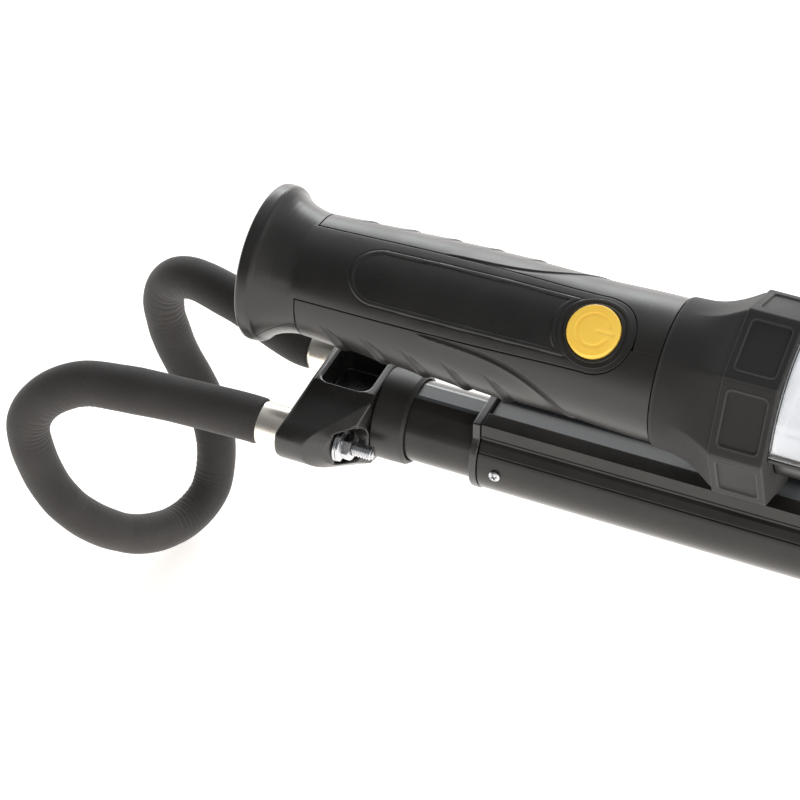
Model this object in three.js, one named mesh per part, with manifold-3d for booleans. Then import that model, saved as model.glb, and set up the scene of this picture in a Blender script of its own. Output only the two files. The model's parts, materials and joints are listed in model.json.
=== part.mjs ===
// A telescopic under-bonnet work light. A cordless lamp snaps into two clips
// that slide along an aluminium rail. A tube slides out of each end of the rail and
// carries a bracket with a foam-covered flexible hook.
//
// Millimetres. +X runs along the rail, +Y points to the rear, +Z points up from the
// rail to the lamp. Heights are built from the axis of the rail's round tube. The whole
// light is then lifted so that the origin is on the ground, below the middle of the rail.

import * as THREE from 'three';
import { mergeVertices } from 'three/addons/utils/BufferGeometryUtils.js';
import Module from 'manifold-3d';

const wasm = await Module();
wasm.setup();

// ---------------------------------------------------------------- driving dimensions

const gap = 0.3;                  // clearance between neighbouring pieces

// Rail: a round tube with a flat-topped, slotted box along it
const railLength = 520;
const railRadius = 16.2;
const railBore = 15.1;
const boxHalfWidth = 12.6;
const boxTop = 17.5;
const boxBottom = 12.6;
const slotHalfWidth = 5.9;
const slotFloor = 15.1;
const lipThickness = 1.0;
const slotUndercut = 8.6;         // half-width of the T-slot under its lips
const capThickness = 2.7;
const capScrewX = 9.7;            // from the rail's end to the cap screws

// Telescopic tube and the bracket on its outer end; distances are from the rail's end
const tubeRadius = 14.2;
const tubeBore = 12.9;
const tubeFlatZ = 13.88;
const tubeInside = 228;
const bracketRight = -37;
const bracketLeft = -66;
const collarRight = -24.7;
const collarRadius = 16.2;
const earY = 22;
const earZ = -0.8;
const earRadius = 9.8;
const bracketTop = 15.5;
const pocketFloor = 6;

// M5 bolt, nut and ferrule at each end of a hook
const boltRadius = 2.45;
const boltHole = 2.8;
const nutSeatX = -46;
const boltEndX = -32.5;
const ferruleRadius = 7.5;
const ferruleLength = 8.7;
const ferruleWall = 2.4;          // end wall that the bolt passes through

// Foam-covered hook
const foamRadius = 8.0;
const foamBore = 4.2;
const coreRadius = 3.5;
const hookSteps = 28;

// Lamp; x positions are from the rail's left end
const lampAxisZ = 51.9;
const lampTurn = THREE.MathUtils.degToRad(34.5);   // the light shines up and to the front
const flangeX = -81.3;
const flangeRadius = 27.3;
const bumperX = 64.7;
const ringX = 87.5;
const ringEndX = 105.9;
const ringRadius = 34;            // to the corners of the octagon
const headRadius = 22.8;
const lensRadius = 30;
const lensHalfAngle = 53.5;
const lensEndX = 405.9;
const farRingEndX = 424.3;
const lampEndX = 433;
const buttonX = 41;
const buttonRadius = 9.4;
const gripHalfAngle = 36;         // half-angle of the smooth spine between the grips
const shellWall = 2.2;
const clipXs = [150, 370];
const clipWidth = 14;

// ---------------------------------------------------------------- materials

const metal = (color, roughness) =>
  new THREE.MeshStandardMaterial({ color, roughness, metalness: 1 });
const plastic = (color, roughness) =>
  new THREE.MeshStandardMaterial({ color, roughness, metalness: 0 });

const anodised = metal(0x111114, 0.22);
const glossBlack = plastic(0x0c0c0d, 0.25);
const satinBlack = plastic(0x131314, 0.45);
const gripBlack = plastic(0x161617, 0.6);
const rubber = plastic(0x2b2b2d, 0.8);
const foamBlack = plastic(0x1d1d1f, 0.95);
const zinc = metal(0xc9ccd0, 0.3);
const nickel = metal(0xd8d2c2, 0.22);
const springSteel = metal(0x77797c, 0.45);
const yellow = plastic(0xf6b81e, 0.4);
const clear = plastic(0xeef2f6, 0.05);
const mirrorFinish = metal(0xf2f4f6, 0.08);
const boardGreen = plastic(0x1f5b3a, 0.6);
const boardWhite = plastic(0xf1f1ec, 0.6);
const cellBlue = plastic(0x2b5c9a, 0.5);

// ---------------------------------------------------------------- solid helpers

// Closed geometry to a manifold solid, turned right side out if need be.
function solid(geometry) {
  const bare = geometry.clone();
  bare.deleteAttribute('normal');
  bare.deleteAttribute('uv');
  const merged = mergeVertices(bare, 1e-4);
  const index = merged.index.array;
  const triangles = [];
  for (let i = 0; i < index.length; i += 3) {
    const [a, b, c] = [index[i], index[i + 1], index[i + 2]];
    if (a !== b && b !== c && c !== a) triangles.push(a, b, c);
  }
  const build = (triVerts) => new wasm.Manifold(new wasm.Mesh({
    numProp: 3,
    vertProperties: new Float32Array(merged.attributes.position.array),
    triVerts: new Uint32Array(triVerts),
  }));
  const body = build(triangles);
  if (body.volume() > 0) return body;
  for (let i = 0; i < triangles.length; i += 3) {
    [triangles[i], triangles[i + 1]] = [triangles[i + 1], triangles[i]];
  }
  return build(triangles);
}

// Manifold solid back to a geometry.
function geometryOf(body) {
  const mesh = body.getMesh();
  const geometry = new THREE.BufferGeometry();
  const positions = new Float32Array(mesh.vertProperties);
  geometry.setAttribute('position', new THREE.BufferAttribute(positions, 3));
  geometry.setIndex(new THREE.BufferAttribute(new Uint32Array(mesh.triVerts), 1));
  geometry.computeVertexNormals();
  return geometry;
}

function makeMesh(name, body, material) {
  const mesh = new THREE.Mesh(geometryOf(body), material);
  mesh.name = name;
  return mesh;
}

const point = (x, y) => new THREE.Vector2(x, y);

// Points on an arc, in degrees, both ends included.
function arc(cx, cy, radius, from, to, steps) {
  const points = [];
  for (let i = 0; i <= steps; i++) {
    const angle = THREE.MathUtils.degToRad(from + (to - from) * i / steps);
    points.push(point(cx + radius * Math.cos(angle), cy + radius * Math.sin(angle)));
  }
  return points;
}

const ring = (radius, steps) => arc(0, 0, radius, 0, 360 - 360 / steps, steps - 1);

// An outline in the YZ plane pushed along +X from x0 to x1.
function alongX(outline, x0, x1, holes = []) {
  const shape = new THREE.Shape(outline);
  holes.forEach((hole) => shape.holes.push(new THREE.Path(hole)));
  const geometry = new THREE.ExtrudeGeometry(shape, { depth: x1 - x0, bevelEnabled: false });
  const turn = new THREE.Matrix4().makeBasis(
    new THREE.Vector3(0, 1, 0), new THREE.Vector3(0, 0, 1), new THREE.Vector3(1, 0, 0));
  geometry.applyMatrix4(turn);
  geometry.translate(x0, 0, 0);
  return solid(geometry);
}

// A profile of [x, radius] pairs turned about the X axis; it starts and ends on the axis
// or closes on itself.
function turned(profile, segments = 24) {
  const points = profile.map(([x, radius]) => point(radius, x));
  const geometry = new THREE.LatheGeometry(points, segments);
  geometry.rotateZ(-Math.PI / 2);
  return solid(geometry);
}

const rod = (x0, x1, radius, segments) =>
  turned([[x0, 0], [x0, radius], [x1, radius], [x1, 0]], segments);
const pipe = (x0, x1, inner, outer, segments) =>
  turned([[x0, inner], [x0, outer], [x1, outer], [x1, inner], [x0, inner]], segments);

function block(x0, x1, y0, y1, z0, z1) {
  const geometry = new THREE.BoxGeometry(x1 - x0, y1 - y0, z1 - z0);
  geometry.translate((x0 + x1) / 2, (y0 + y1) / 2, (z0 + z1) / 2);
  return solid(geometry);
}

// A cylinder along Y or Z.
function post(axis, x, y, z, radius, length, segments = 12) {
  const geometry = new THREE.CylinderGeometry(radius, radius, length, segments);
  if (axis === 'z') geometry.rotateX(Math.PI / 2);
  geometry.translate(x, y, z);
  return solid(geometry);
}

// ---------------------------------------------------------------- rail

const mirrored = (points) => points.map((p) => point(-p.x, p.y)).reverse();

// The right-hand half of the rail's outside, from the slot's floor down to the bottom.
function railHalf() {
  const lipBottom = boxTop - lipThickness;
  return [
    point(slotUndercut, slotFloor),
    point(slotUndercut, lipBottom),
    point(slotHalfWidth, lipBottom),
    point(slotHalfWidth, boxTop),
    point(boxHalfWidth, boxTop),
    point(boxHalfWidth, boxBottom),
    point(boxHalfWidth + 0.3, boxBottom - 0.4),
    point(boxHalfWidth + 0.3, boxBottom - 1),
    point(boxHalfWidth - 0.7, boxBottom - 1.3),
    point(boxHalfWidth - 0.7, boxBottom - 2),
    point(13, 9.7),
    point(14.6, 7),
    point(14.3, 6.7),
    ...arc(0, 0, railRadius, 23, -88, 12),
  ];
}

function outerRail() {
  const half = railHalf();
  const outline = [...half, ...mirrored(half)];
  const keyFlat = slotFloor - 0.75;
  const flatAngle = THREE.MathUtils.radToDeg(Math.asin(keyFlat / railBore));
  const bore = arc(0, 0, railBore, 180 - flatAngle, 360 + flatAngle, 22);
  const x0 = capThickness + gap;
  let rail = alongX(outline, x0, railLength - x0, [bore]);
  for (const x of [capScrewX, railLength - capScrewX]) {
    rail = rail.subtract(post('y', x, 0, 0, 1.25, 60));
  }
  return rail;
}

// End cap: a plate over the rail's end, with a split sleeve that lines the bore.
function endCap() {
  const proud = 0.4;
  const bore = tubeRadius + gap;
  const plateOutline = [
    point(boxHalfWidth + proud, boxTop),
    point(-boxHalfWidth - proud, boxTop),
    point(-boxHalfWidth - proud, boxBottom - 1.2),
    ...arc(0, 0, railRadius + proud, 145, 395, 20),
    point(boxHalfWidth + proud, boxBottom - 1.2),
  ];
  const plate = alongX(plateOutline, 0, capThickness, [ring(bore, 24)]);
  const sleeve = pipe(0.5, 18, bore, railBore - 0.2, 24)
    .subtract(block(capThickness, 20, -6.5, 6.5, 5, 20))
    .subtract(post('y', capScrewX, 0, 0, 1.25, 60));
  return plate.add(sleeve);
}

// Pan-head screw on the +Y side, pointing inwards.
function capScrew() {
  const geometry = new THREE.LatheGeometry([
    point(0, railBore - 0.5),
    point(1, railBore - 0.5),
    point(1, railRadius + 0.1),
    point(2, railRadius + 0.1),
    point(1.9, railRadius + 0.8),
    point(1.2, railRadius + 1.4),
    point(0, railRadius + 1.5),
  ], 10);
  return solid(geometry);
}

// ---------------------------------------------------------------- telescopic end

function keyedRing(radius, flatZ, steps) {
  const flatAngle = THREE.MathUtils.radToDeg(Math.asin(flatZ / radius));
  return arc(0, 0, radius, 180 - flatAngle, 360 + flatAngle, steps);
}

function innerTube() {
  return alongX(keyedRing(tubeRadius, tubeFlatZ, 24), bracketRight + gap, tubeInside,
    [ring(tubeBore, 24)]);
}

function guidePlug() {
  const spigot = rod(tubeInside - 14, tubeInside + gap + 1, tubeBore - gap, 20);
  const flange = alongX(keyedRing(railBore - gap, tubeFlatZ, 24),
    tubeInside + gap, tubeInside + 5);
  return spigot.add(flange);
}

function collar() {
  const inner = tubeRadius + gap;
  return turned([
    [bracketRight + gap, inner],
    [bracketRight + gap, collarRadius],
    [collarRight - 1, collarRadius],
    [collarRight, collarRadius - 0.8],
    [collarRight, inner],
    [bracketRight + gap, inner],
  ], 24);
}

// The bracket's outline seen along the tube: a flat-topped hub drawn out into two ears.
function bracketOutline() {
  return [
    point(11.5, bracketTop),
    ...arc(earY, earZ, earRadius, 48, -104, 12),
    ...arc(0, 0, collarRadius, -62, -118, 6),
    ...arc(-earY, earZ, earRadius, -76, -228, 12),
    point(-11.5, bracketTop),
  ];
}

// The top pocket is an open, round-cornered rectangle.
function pocket() {
  const [x0, x1] = [-57.8, -40.2];
  const [halfY, corner] = [10.5, 3.5];
  const outline = [
    ...arc(x1 - corner, halfY - corner, corner, 0, 90, 4),
    ...arc(x0 + corner, halfY - corner, corner, 90, 180, 4),
    ...arc(x0 + corner, corner - halfY, corner, 180, 270, 4),
    ...arc(x1 - corner, corner - halfY, corner, 270, 360, 4),
  ];
  const geometry = new THREE.ExtrudeGeometry(new THREE.Shape(outline),
    { depth: 20, bevelEnabled: false });
  geometry.translate(0, 0, pocketFloor);
  return solid(geometry);
}

// What is cut off each ear so that its nut can be reached: a slanted side and a round seat.
function earCuts(side) {
  const slant = new THREE.Shape([
    point(-53, side * 33),
    point(-36, side * 16.5),
    point(-30, side * 16.5),
    point(-30, side * 40),
    point(-53, side * 40),
  ]);
  const slantGeometry = new THREE.ExtrudeGeometry(slant, { depth: 40, bevelEnabled: false });
  slantGeometry.translate(0, 0, -20);
  const seat = rod(nutSeatX, 0, 7.2, 20).translate([0, side * earY, earZ]);
  const hole = rod(-80, 0, boltHole, 12).translate([0, side * earY, earZ]);
  return solid(slantGeometry).add(seat).add(hole);
}

function bracket() {
  const body = alongX(bracketOutline(), bracketLeft, bracketRight);
  const waist = post('z', -94, 0, 0, 34, 60, 40);
  const spigot = rod(bracketRight - 1, -14, tubeBore - gap, 20);
  return body.subtract(waist).subtract(pocket())
    .subtract(earCuts(1)).subtract(earCuts(-1)).add(spigot);
}

function ferrule() {
  const x1 = bracketLeft - gap;
  const x0 = x1 - ferruleLength;
  return turned([
    [x0, foamBore], [x0, ferruleRadius - 0.3], [x0 + 0.4, ferruleRadius],
    [x1, ferruleRadius], [x1, boltHole], [x1 - ferruleWall, boltHole],
    [x1 - ferruleWall, foamBore], [x0, foamBore],
  ], 16);
}

function hookBolt() {
  const headX = bracketLeft - gap - ferruleWall - 0.2;
  return turned([
    [headX - 2, 0], [headX - 2, 3.8], [headX, 3.8], [headX, boltRadius],
    [boltEndX, boltRadius], [boltEndX, 0],
  ], 12);
}

const washer = () => pipe(nutSeatX + gap, nutSeatX + gap + 1, boltHole, 5.9, 16);

function flangeNut() {
  const x0 = nutSeatX + gap + 1 + 0.1;
  const hexagon = ring(4.62, 6);
  const bore = ring(boltHole, 12);
  return alongX(hexagon, x0 + 0.8, x0 + 4.6, [bore]).add(pipe(x0, x0 + 1.1, boltHole, 5.7, 12));
}

// ---------------------------------------------------------------- hook

// Centre line of the hook, bent by hand: from the front ferrule out, down, across to the
// rear and back to the rear ferrule. The front bend reaches further than the rear one.
const hookLine = new THREE.CatmullRomCurve3([
  new THREE.Vector3(-79, -22.2, -0.4),
  new THREE.Vector3(-102, -27, 3),
  new THREE.Vector3(-124, -32, 5.5),
  new THREE.Vector3(-138, -35, 5),
  new THREE.Vector3(-152, -37.5, -4),
  new THREE.Vector3(-159.5, -38.5, -18),
  new THREE.Vector3(-157, -38, -37),
  new THREE.Vector3(-150, -35, -55),
  new THREE.Vector3(-141.5, -27, -70),
  new THREE.Vector3(-132, -12, -84),
  new THREE.Vector3(-125, 8, -91),
  new THREE.Vector3(-121, 22, -86),
  new THREE.Vector3(-121.5, 30, -72),
  new THREE.Vector3(-127, 34.5, -56),
  new THREE.Vector3(-141, 37.5, -31),
  new THREE.Vector3(-144.5, 37.5, -14),
  new THREE.Vector3(-140.5, 36, -2),
  new THREE.Vector3(-129.5, 32.5, 6),
  new THREE.Vector3(-109, 27, 6.7),
  new THREE.Vector3(-88, 23.3, 1.5),
  new THREE.Vector3(-79, 22.2, -0.6),
], false, 'centripetal');

function sweep(outline, hole) {
  const shape = new THREE.Shape(outline);
  if (hole) shape.holes.push(new THREE.Path(hole));
  return solid(new THREE.ExtrudeGeometry(shape, { steps: hookSteps, extrudePath: hookLine }));
}

const hookFoam = () => sweep(ring(foamRadius, 12), ring(foamBore, 6));
const hookCore = () => sweep(ring(coreRadius, 6));

// ---------------------------------------------------------------- lamp handle

// Outside of the handle as [x, radius] from the end flange to the joint with the head.
const handleProfile = [
  [flangeX, 26.3], [flangeX + 1, flangeRadius], [-77, flangeRadius - 0.3], [-75.7, 25.6],
  [-71, 22.9], [-67, 21.6], [-63.6, 21.1], [-40, 22.3], [-15, 23.3], [8, 23.8], [30, 23.5],
  [46, 23.9], [bumperX - gap, 24.3], [bumperX - gap, 21.9], [84, 21.9],
];

// Radius of the handle's outside at x, between the flare and the bumper.
function handleRadius(x) {
  const i = handleProfile.findIndex(([px]) => px > x);
  const [[xa, ra], [xb, rb]] = [handleProfile[i - 1], handleProfile[i]];
  return ra + (rb - ra) * (x - xa) / (xb - xa);
}

const gripX0 = -63.2;
const gripX1 = 61.5;
const gripDepth = 1.7;

// A wedge about the X axis, from one angle to another, in degrees; 90 is the front.
function wedge(from, to, x0, x1) {
  return alongX([point(0, 0), ...arc(0, 0, 60, from, to, 12)], x0, x1);
}

// Ring of the handle's grip zone, from depth `inner` to depth `outer` below the surface.
function gripBand(outer, inner, x0, x1) {
  const xs = [x0, -40, -15, 8, 30, 46, x1];
  const outside = xs.map((x) => [x, handleRadius(x) - outer]);
  const inside = xs.map((x) => [x, handleRadius(x) - inner]).reverse();
  return turned([...outside, ...inside, outside[0]], 36);
}

const gripSpan = (side, slack) => (side > 0
  ? wedge(gripHalfAngle - 90 - slack, 90 - gripHalfAngle + slack, -100, 100)
  : wedge(90 + gripHalfAngle - slack, 270 - gripHalfAngle + slack, -100, 100));

function handleShell(side) {
  const inside = [
    [84, 21.9 - shellWall], [bumperX - 3, 19.8], [46, 21.2], [8, 21.2], [-40, 19.8],
    [-63.6, 18.6], [-70, 18.6], [-76.5, 21.8], [flangeX, 21.8],
  ];
  let shell = turned([...handleProfile, ...inside, handleProfile[0]], 36);
  const half = side > 0
    ? block(-100, 100, -40, 40, 0.15, 40)
    : block(-100, 100, -40, 40, -40, -0.15);
  shell = shell.intersect(half);
  const groove = gripBand(-2, gripDepth, gripX0 - gap, gripX1 + gap);
  for (const wing of [1, -1]) {
    shell = shell.subtract(groove.intersect(gripSpan(wing, 0.8)));
  }
  if (side > 0) shell = shell.subtract(post('z', buttonX, 0, 22, buttonRadius + 0.5, 20, 24));
  return shell;
}

const grip = (side) =>
  gripBand(0, gripDepth - gap, gripX0, gripX1).intersect(gripSpan(side, 0));

function handleEndCap() {
  return pipe(flangeX + 0.8, flangeX + 3.8, 4.3, 21.4, 24);
}

function chargeSocket() {
  return turned([
    [flangeX + 0.8, 3.9], [-70, 3.9], [-70, 0], [-72, 0], [-72, 2.8], [flangeX + 0.8, 2.8],
    [flangeX + 0.8, 3.9],
  ], 12);
}

const cellRadius = 9.2;
const cellLength = 65;
const cellZ = -6.5;

function batteryCell(x0) {
  return turned([
    [x0, 0], [x0, cellRadius], [x0 + cellLength, cellRadius], [x0 + cellLength, 3],
    [x0 + cellLength + 1, 3], [x0 + cellLength + 1, 0],
  ], 16).translate([0, 0, cellZ]);
}

const boardZ = 7;
const controlBoard = () => block(-28, 62, -9, 9, boardZ, boardZ + 1.6);

function powerSwitch() {
  const body = block(buttonX - 3, buttonX + 3, -3, 3, boardZ + 1.9, boardZ + 5);
  return body.add(post('z', buttonX, 0, boardZ + 5, 1.7, 2, 16));
}

// Push button: a domed round cap with a stem that stops just above the switch.
function powerButton() {
  const top = handleRadius(buttonX) + 1;
  const geometry = new THREE.LatheGeometry([
    point(0, boardZ + 7.6), point(2.4, boardZ + 7.6), point(2.4, top - 3),
    point(buttonRadius, top - 3), point(buttonRadius, top - 1.1),
    point(buttonRadius - 1, top - 0.3), point(0, top),
  ], 24);
  geometry.rotateX(Math.PI / 2);
  geometry.translate(buttonX, 0, 0);
  return solid(geometry);
}

// ---------------------------------------------------------------- lamp head

// Rubber bumper: a flared collar that grows into an octagonal ring.
function octagonRing(x0, x1) {
  const corners = [];
  for (let i = 0; i < 8; i++) {
    // one corner points straight down at the rail when the lamp sits at rest
    const angle = -Math.PI / 2 - lampTurn + i * Math.PI / 4;
    corners.push(point(ringRadius * Math.cos(angle), ringRadius * Math.sin(angle)));
  }
  return alongX(corners, x0, x1);
}

function frontBumper() {
  const flare = turned([
    [bumperX, 0], [bumperX, 24.5], [bumperX + 0.8, 25.2], [bumperX + 5, 25.6],
    [bumperX + 12, 27.6], [bumperX + 18, 29.9], [ringX, 31.2], [ringX + 2, 31.2], [ringX + 2, 0],
  ], 28);
  return flare.add(octagonRing(ringX, ringEndX))
    .subtract(rod(0, ringEndX + 5, headRadius, 28));
}

function endBumper() {
  const cap = turned([
    [farRingEndX - 2, 0], [farRingEndX - 2, 31.2], [farRingEndX, 31.2],
    [lampEndX - 2, 27.5], [lampEndX, 26], [lampEndX, 0],
  ], 28);
  return octagonRing(lensEndX, farRingEndX).add(cap)
    .subtract(rod(lensEndX - 5, lampEndX - 4, headRadius, 28));
}

// Back of the head: a round shell, open to the front, with a ledge under each lens edge.
function backHousing() {
  const [front, ledge] = [90 - lensHalfAngle, 2.4];
  const outline = [
    ...arc(0, 0, lensRadius, 180 - front, 180 - front + ledge, 1),
    ...arc(0, 0, headRadius, 180 - front + ledge + 1, 360 + front - ledge - 1, 22),
    ...arc(0, 0, lensRadius, 360 + front - ledge, 360 + front, 1),
    ...arc(0, 0, headRadius - 2, 360 + front, 180 - front, 22),
  ];
  const trough = alongX(outline, ringEndX + gap, lensEndX - gap);
  const sleeves = [[84 + gap + 0.2, ringEndX + 2], [lensEndX - 2, lampEndX - 5]];
  return sleeves.reduce(
    (body, [x0, x1]) => body.add(pipe(x0, x1, headRadius - 2, headRadius - 0.3, 24)), trough);
}

// Clear lens: a part-round cover with closed ends.
function lensCover() {
  const [from, to] = [90 - lensHalfAngle + 0.8, 90 + lensHalfAngle - 0.8];
  const wall = 1.8;
  const [x0, x1] = [ringEndX + 2.4, lensEndX - 2.4];
  const dome = [
    ...arc(0, 0, lensRadius, from, to, 16),
    ...arc(0, 0, lensRadius - wall, to, from, 16),
  ];
  const end = [
    ...arc(0, 0, lensRadius - 0.5, from, to, 16),
    ...arc(0, 0, headRadius + 0.6, to, from, 12),
  ];
  return alongX(dome, x0, x1).add(alongX(end, x0, x0 + wall)).add(alongX(end, x1 - wall, x1));
}

// Trough reflector with a flat floor and slanted sides that reach up to the lens edges.
function reflector() {
  const outline = [
    point(-18.6, 16.4), point(-6, 9.5), point(6, 9.5), point(18.6, 16.4),
    point(18, 17.2), point(5.7, 10.6), point(-5.7, 10.6), point(-18, 17.2),
  ];
  return alongX(outline, ringEndX + 5, lensEndX - 5);
}

function ledBoard() {
  const x0 = ringEndX + 6;
  const x1 = lensEndX - 6;
  const z0 = 10.9;
  const count = 20;
  const pitch = (x1 - x0) / count;
  let board = block(x0, x1, -5, 5, z0, z0 + 1.4);
  for (let i = 0; i < count; i++) {
    const x = x0 + (i + 0.5) * pitch;
    board = board.add(block(x - 1.6, x + 1.6, -1.6, 1.6, z0 + 1, z0 + 2.3));
  }
  return board;
}

// ---------------------------------------------------------------- lamp clips

// C-shaped spring clip on a foot that slides in the rail's T-slot.
function lampClip(x) {
  const [x0, x1] = [x - clipWidth / 2, x + clipWidth / 2];
  const jawInner = headRadius + 0.35;
  const jawOuter = jawInner + 2.6;
  const reach = 84;
  const jaws = alongX([
    ...arc(0, lampAxisZ, jawOuter, 270 - reach, 270 + reach, 18),
    ...arc(0, lampAxisZ, jawInner, 270 + reach, 270 - reach, 18),
  ], x0, x1);
  const web = block(x0, x1, -slotHalfWidth + 0.4, slotHalfWidth - 0.4,
    slotFloor + 0.7, lampAxisZ - jawInner - 1);
  const saddle = block(x0, x1, -boxHalfWidth + 0.6, boxHalfWidth - 0.6,
    boxTop + gap, boxTop + 3);
  const foot = block(x0, x1, -slotUndercut + 0.4, slotUndercut - 0.4,
    slotFloor + gap, boxTop - lipThickness - gap);
  return jaws.add(web).add(saddle).add(foot);
}

// ---------------------------------------------------------------- assembly

// One telescopic end, built at the rail's left end. The right end is the same, turned
// half a turn about Z, so its "front" pieces are those nearest +Y of this group.
function telescopicEnd(side, frontSign) {
  const end = new THREE.Group();
  end.add(makeMesh(`${side}_inner_tube`, innerTube(), anodised));
  end.add(makeMesh(`${side}_guide_plug`, guidePlug(), satinBlack));
  end.add(makeMesh(`${side}_collar`, collar(), rubber));
  end.add(makeMesh(`${side}_bracket`, bracket(), glossBlack));
  end.add(makeMesh(`${side}_hook_core`, hookCore(), springSteel));
  end.add(makeMesh(`${side}_hook_foam`, hookFoam(), foamBlack));
  end.add(makeMesh(`${side}_end_cap`, endCap(), glossBlack));
  for (const place of ['front', 'rear']) {
    const sign = place === 'front' ? frontSign : -frontSign;
    const fixings = new THREE.Group();
    fixings.position.set(0, sign * earY, earZ);
    fixings.add(makeMesh(`${side}_${place}_ferrule`, ferrule(), nickel));
    fixings.add(makeMesh(`${side}_${place}_hook_bolt`, hookBolt(), zinc));
    fixings.add(makeMesh(`${side}_${place}_washer`, washer(), zinc));
    fixings.add(makeMesh(`${side}_${place}_flange_nut`, flangeNut(), zinc));
    end.add(fixings);
    const screw = makeMesh(`${side}_${place}_cap_screw`, capScrew(), zinc);
    screw.position.x = capScrewX;
    screw.rotation.x = sign > 0 ? 0 : Math.PI;
    end.add(screw);
  }
  return end;
}

function lamp() {
  const group = new THREE.Group();
  group.position.set(-railLength / 2, 0, lampAxisZ);
  group.rotation.x = lampTurn;
  const pieces = [
    ['handle_front_shell', handleShell(1), satinBlack],
    ['handle_rear_shell', handleShell(-1), satinBlack],
    ['grip_upper', grip(1), gripBlack],
    ['grip_lower', grip(-1), gripBlack],
    ['handle_end_cap', handleEndCap(), satinBlack],
    ['charge_socket', chargeSocket(), nickel],
    ['battery_cell_outer', batteryCell(-62), cellBlue],
    ['battery_cell_inner', batteryCell(5), cellBlue],
    ['control_board', controlBoard(), boardGreen],
    ['power_switch', powerSwitch(), satinBlack],
    ['power_button', powerButton(), yellow],
    ['bumper_near', frontBumper(), rubber],
    ['bumper_end', endBumper(), rubber],
    ['head_back_housing', backHousing(), satinBlack],
    ['lens_cover', lensCover(), clear],
    ['reflector', reflector(), mirrorFinish],
    ['led_board', ledBoard(), boardWhite],
  ];
  pieces.forEach(([name, body, material]) => group.add(makeMesh(name, body, material)));
  return group;
}

const workLight = new THREE.Group();

const leftEnd = telescopicEnd('left', -1);
leftEnd.position.x = -railLength / 2;
workLight.add(leftEnd);

const rightEnd = telescopicEnd('right', 1);
rightEnd.position.x = railLength / 2;
rightEnd.rotation.z = Math.PI;
workLight.add(rightEnd);

const railGroup = new THREE.Group();
railGroup.position.x = -railLength / 2;
railGroup.add(makeMesh('outer_rail', outerRail(), anodised));
railGroup.add(makeMesh('lamp_clip_left', lampClip(clipXs[0]), satinBlack));
railGroup.add(makeMesh('lamp_clip_right', lampClip(clipXs[1]), satinBlack));
workLight.add(railGroup);

workLight.add(lamp());

// The light stands on its lowest points, the undersides of its two hooks.
workLight.position.z = -new THREE.Box3().setFromObject(workLight, true).min.z;

export default workLight;
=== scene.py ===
"""Looks of a telescopic under-bonnet work light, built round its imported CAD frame.

Shapes are worked out in millimetres, with heights from the axis of the rail's round tube,
and turned into the frame's metres in one place, mesh_object().
Along the lamp, places are (x, angle): x in millimetres from the rail's left end, and the
angle in degrees about the lamp's axis from its front, positive towards its upper side.
"""
import json
import math

import bmesh
import bpy
import numpy as np
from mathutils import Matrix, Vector
from mathutils.geometry import tessellate_polygon


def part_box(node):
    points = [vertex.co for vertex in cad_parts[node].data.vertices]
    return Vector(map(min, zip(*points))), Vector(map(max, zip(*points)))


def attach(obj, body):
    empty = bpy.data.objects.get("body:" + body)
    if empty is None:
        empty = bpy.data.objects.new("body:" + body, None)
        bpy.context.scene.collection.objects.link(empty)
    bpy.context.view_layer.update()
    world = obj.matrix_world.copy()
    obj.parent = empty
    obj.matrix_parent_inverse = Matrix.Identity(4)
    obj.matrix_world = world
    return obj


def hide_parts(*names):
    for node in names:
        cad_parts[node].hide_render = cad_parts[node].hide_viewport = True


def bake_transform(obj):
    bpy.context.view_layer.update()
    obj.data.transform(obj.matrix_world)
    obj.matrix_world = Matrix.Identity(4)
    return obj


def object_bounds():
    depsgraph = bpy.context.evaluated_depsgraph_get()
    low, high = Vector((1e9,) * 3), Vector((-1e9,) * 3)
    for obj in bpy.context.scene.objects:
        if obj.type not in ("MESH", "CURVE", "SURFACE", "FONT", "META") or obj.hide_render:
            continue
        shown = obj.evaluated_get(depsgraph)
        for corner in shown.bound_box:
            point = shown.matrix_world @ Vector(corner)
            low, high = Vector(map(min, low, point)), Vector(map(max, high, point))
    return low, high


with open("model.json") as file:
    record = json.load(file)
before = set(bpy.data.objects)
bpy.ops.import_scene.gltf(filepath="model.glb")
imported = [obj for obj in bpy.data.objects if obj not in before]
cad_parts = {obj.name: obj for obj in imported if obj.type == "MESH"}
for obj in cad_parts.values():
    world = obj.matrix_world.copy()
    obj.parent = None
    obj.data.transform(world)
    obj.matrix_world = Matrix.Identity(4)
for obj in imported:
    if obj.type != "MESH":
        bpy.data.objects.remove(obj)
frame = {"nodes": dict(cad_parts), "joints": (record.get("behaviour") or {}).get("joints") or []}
CAD_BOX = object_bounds()
MM = 0.001

# ------------------------------------------------------------------ places from the frame

BOX_TOP = 17.5                   # from the rail's axis up to its flat top
RAIL_AXIS = np.array([0, 0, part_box("outer_rail")[1][2] / MM - BOX_TOP])


def low(node):
    return np.array(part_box(node)[0]) / MM - RAIL_AXIS


def high(node):
    return np.array(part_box(node)[1]) / MM - RAIL_AXIS


JOINTS = {joint["name"]: joint for joint in frame["joints"]}
LEFT_END = low("left_end_cap")[0]
RIGHT_END = high("right_end_cap")[0]
LAMP_AXIS_Z = JOINTS["lamp_turn"]["pos_m"][2] / MM - RAIL_AXIS[2]
FRONT = -np.array(JOINTS["button_press"]["axis"])      # the way the button faces
LAMP_TURN = math.atan2(-FRONT[1], FRONT[2])
CAP_WIDTH = 2.7
RING_LENGTH = 18.4               # the flat-sided part of each bumper
FIT = 0.3                        # room left between parts that meet

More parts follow.
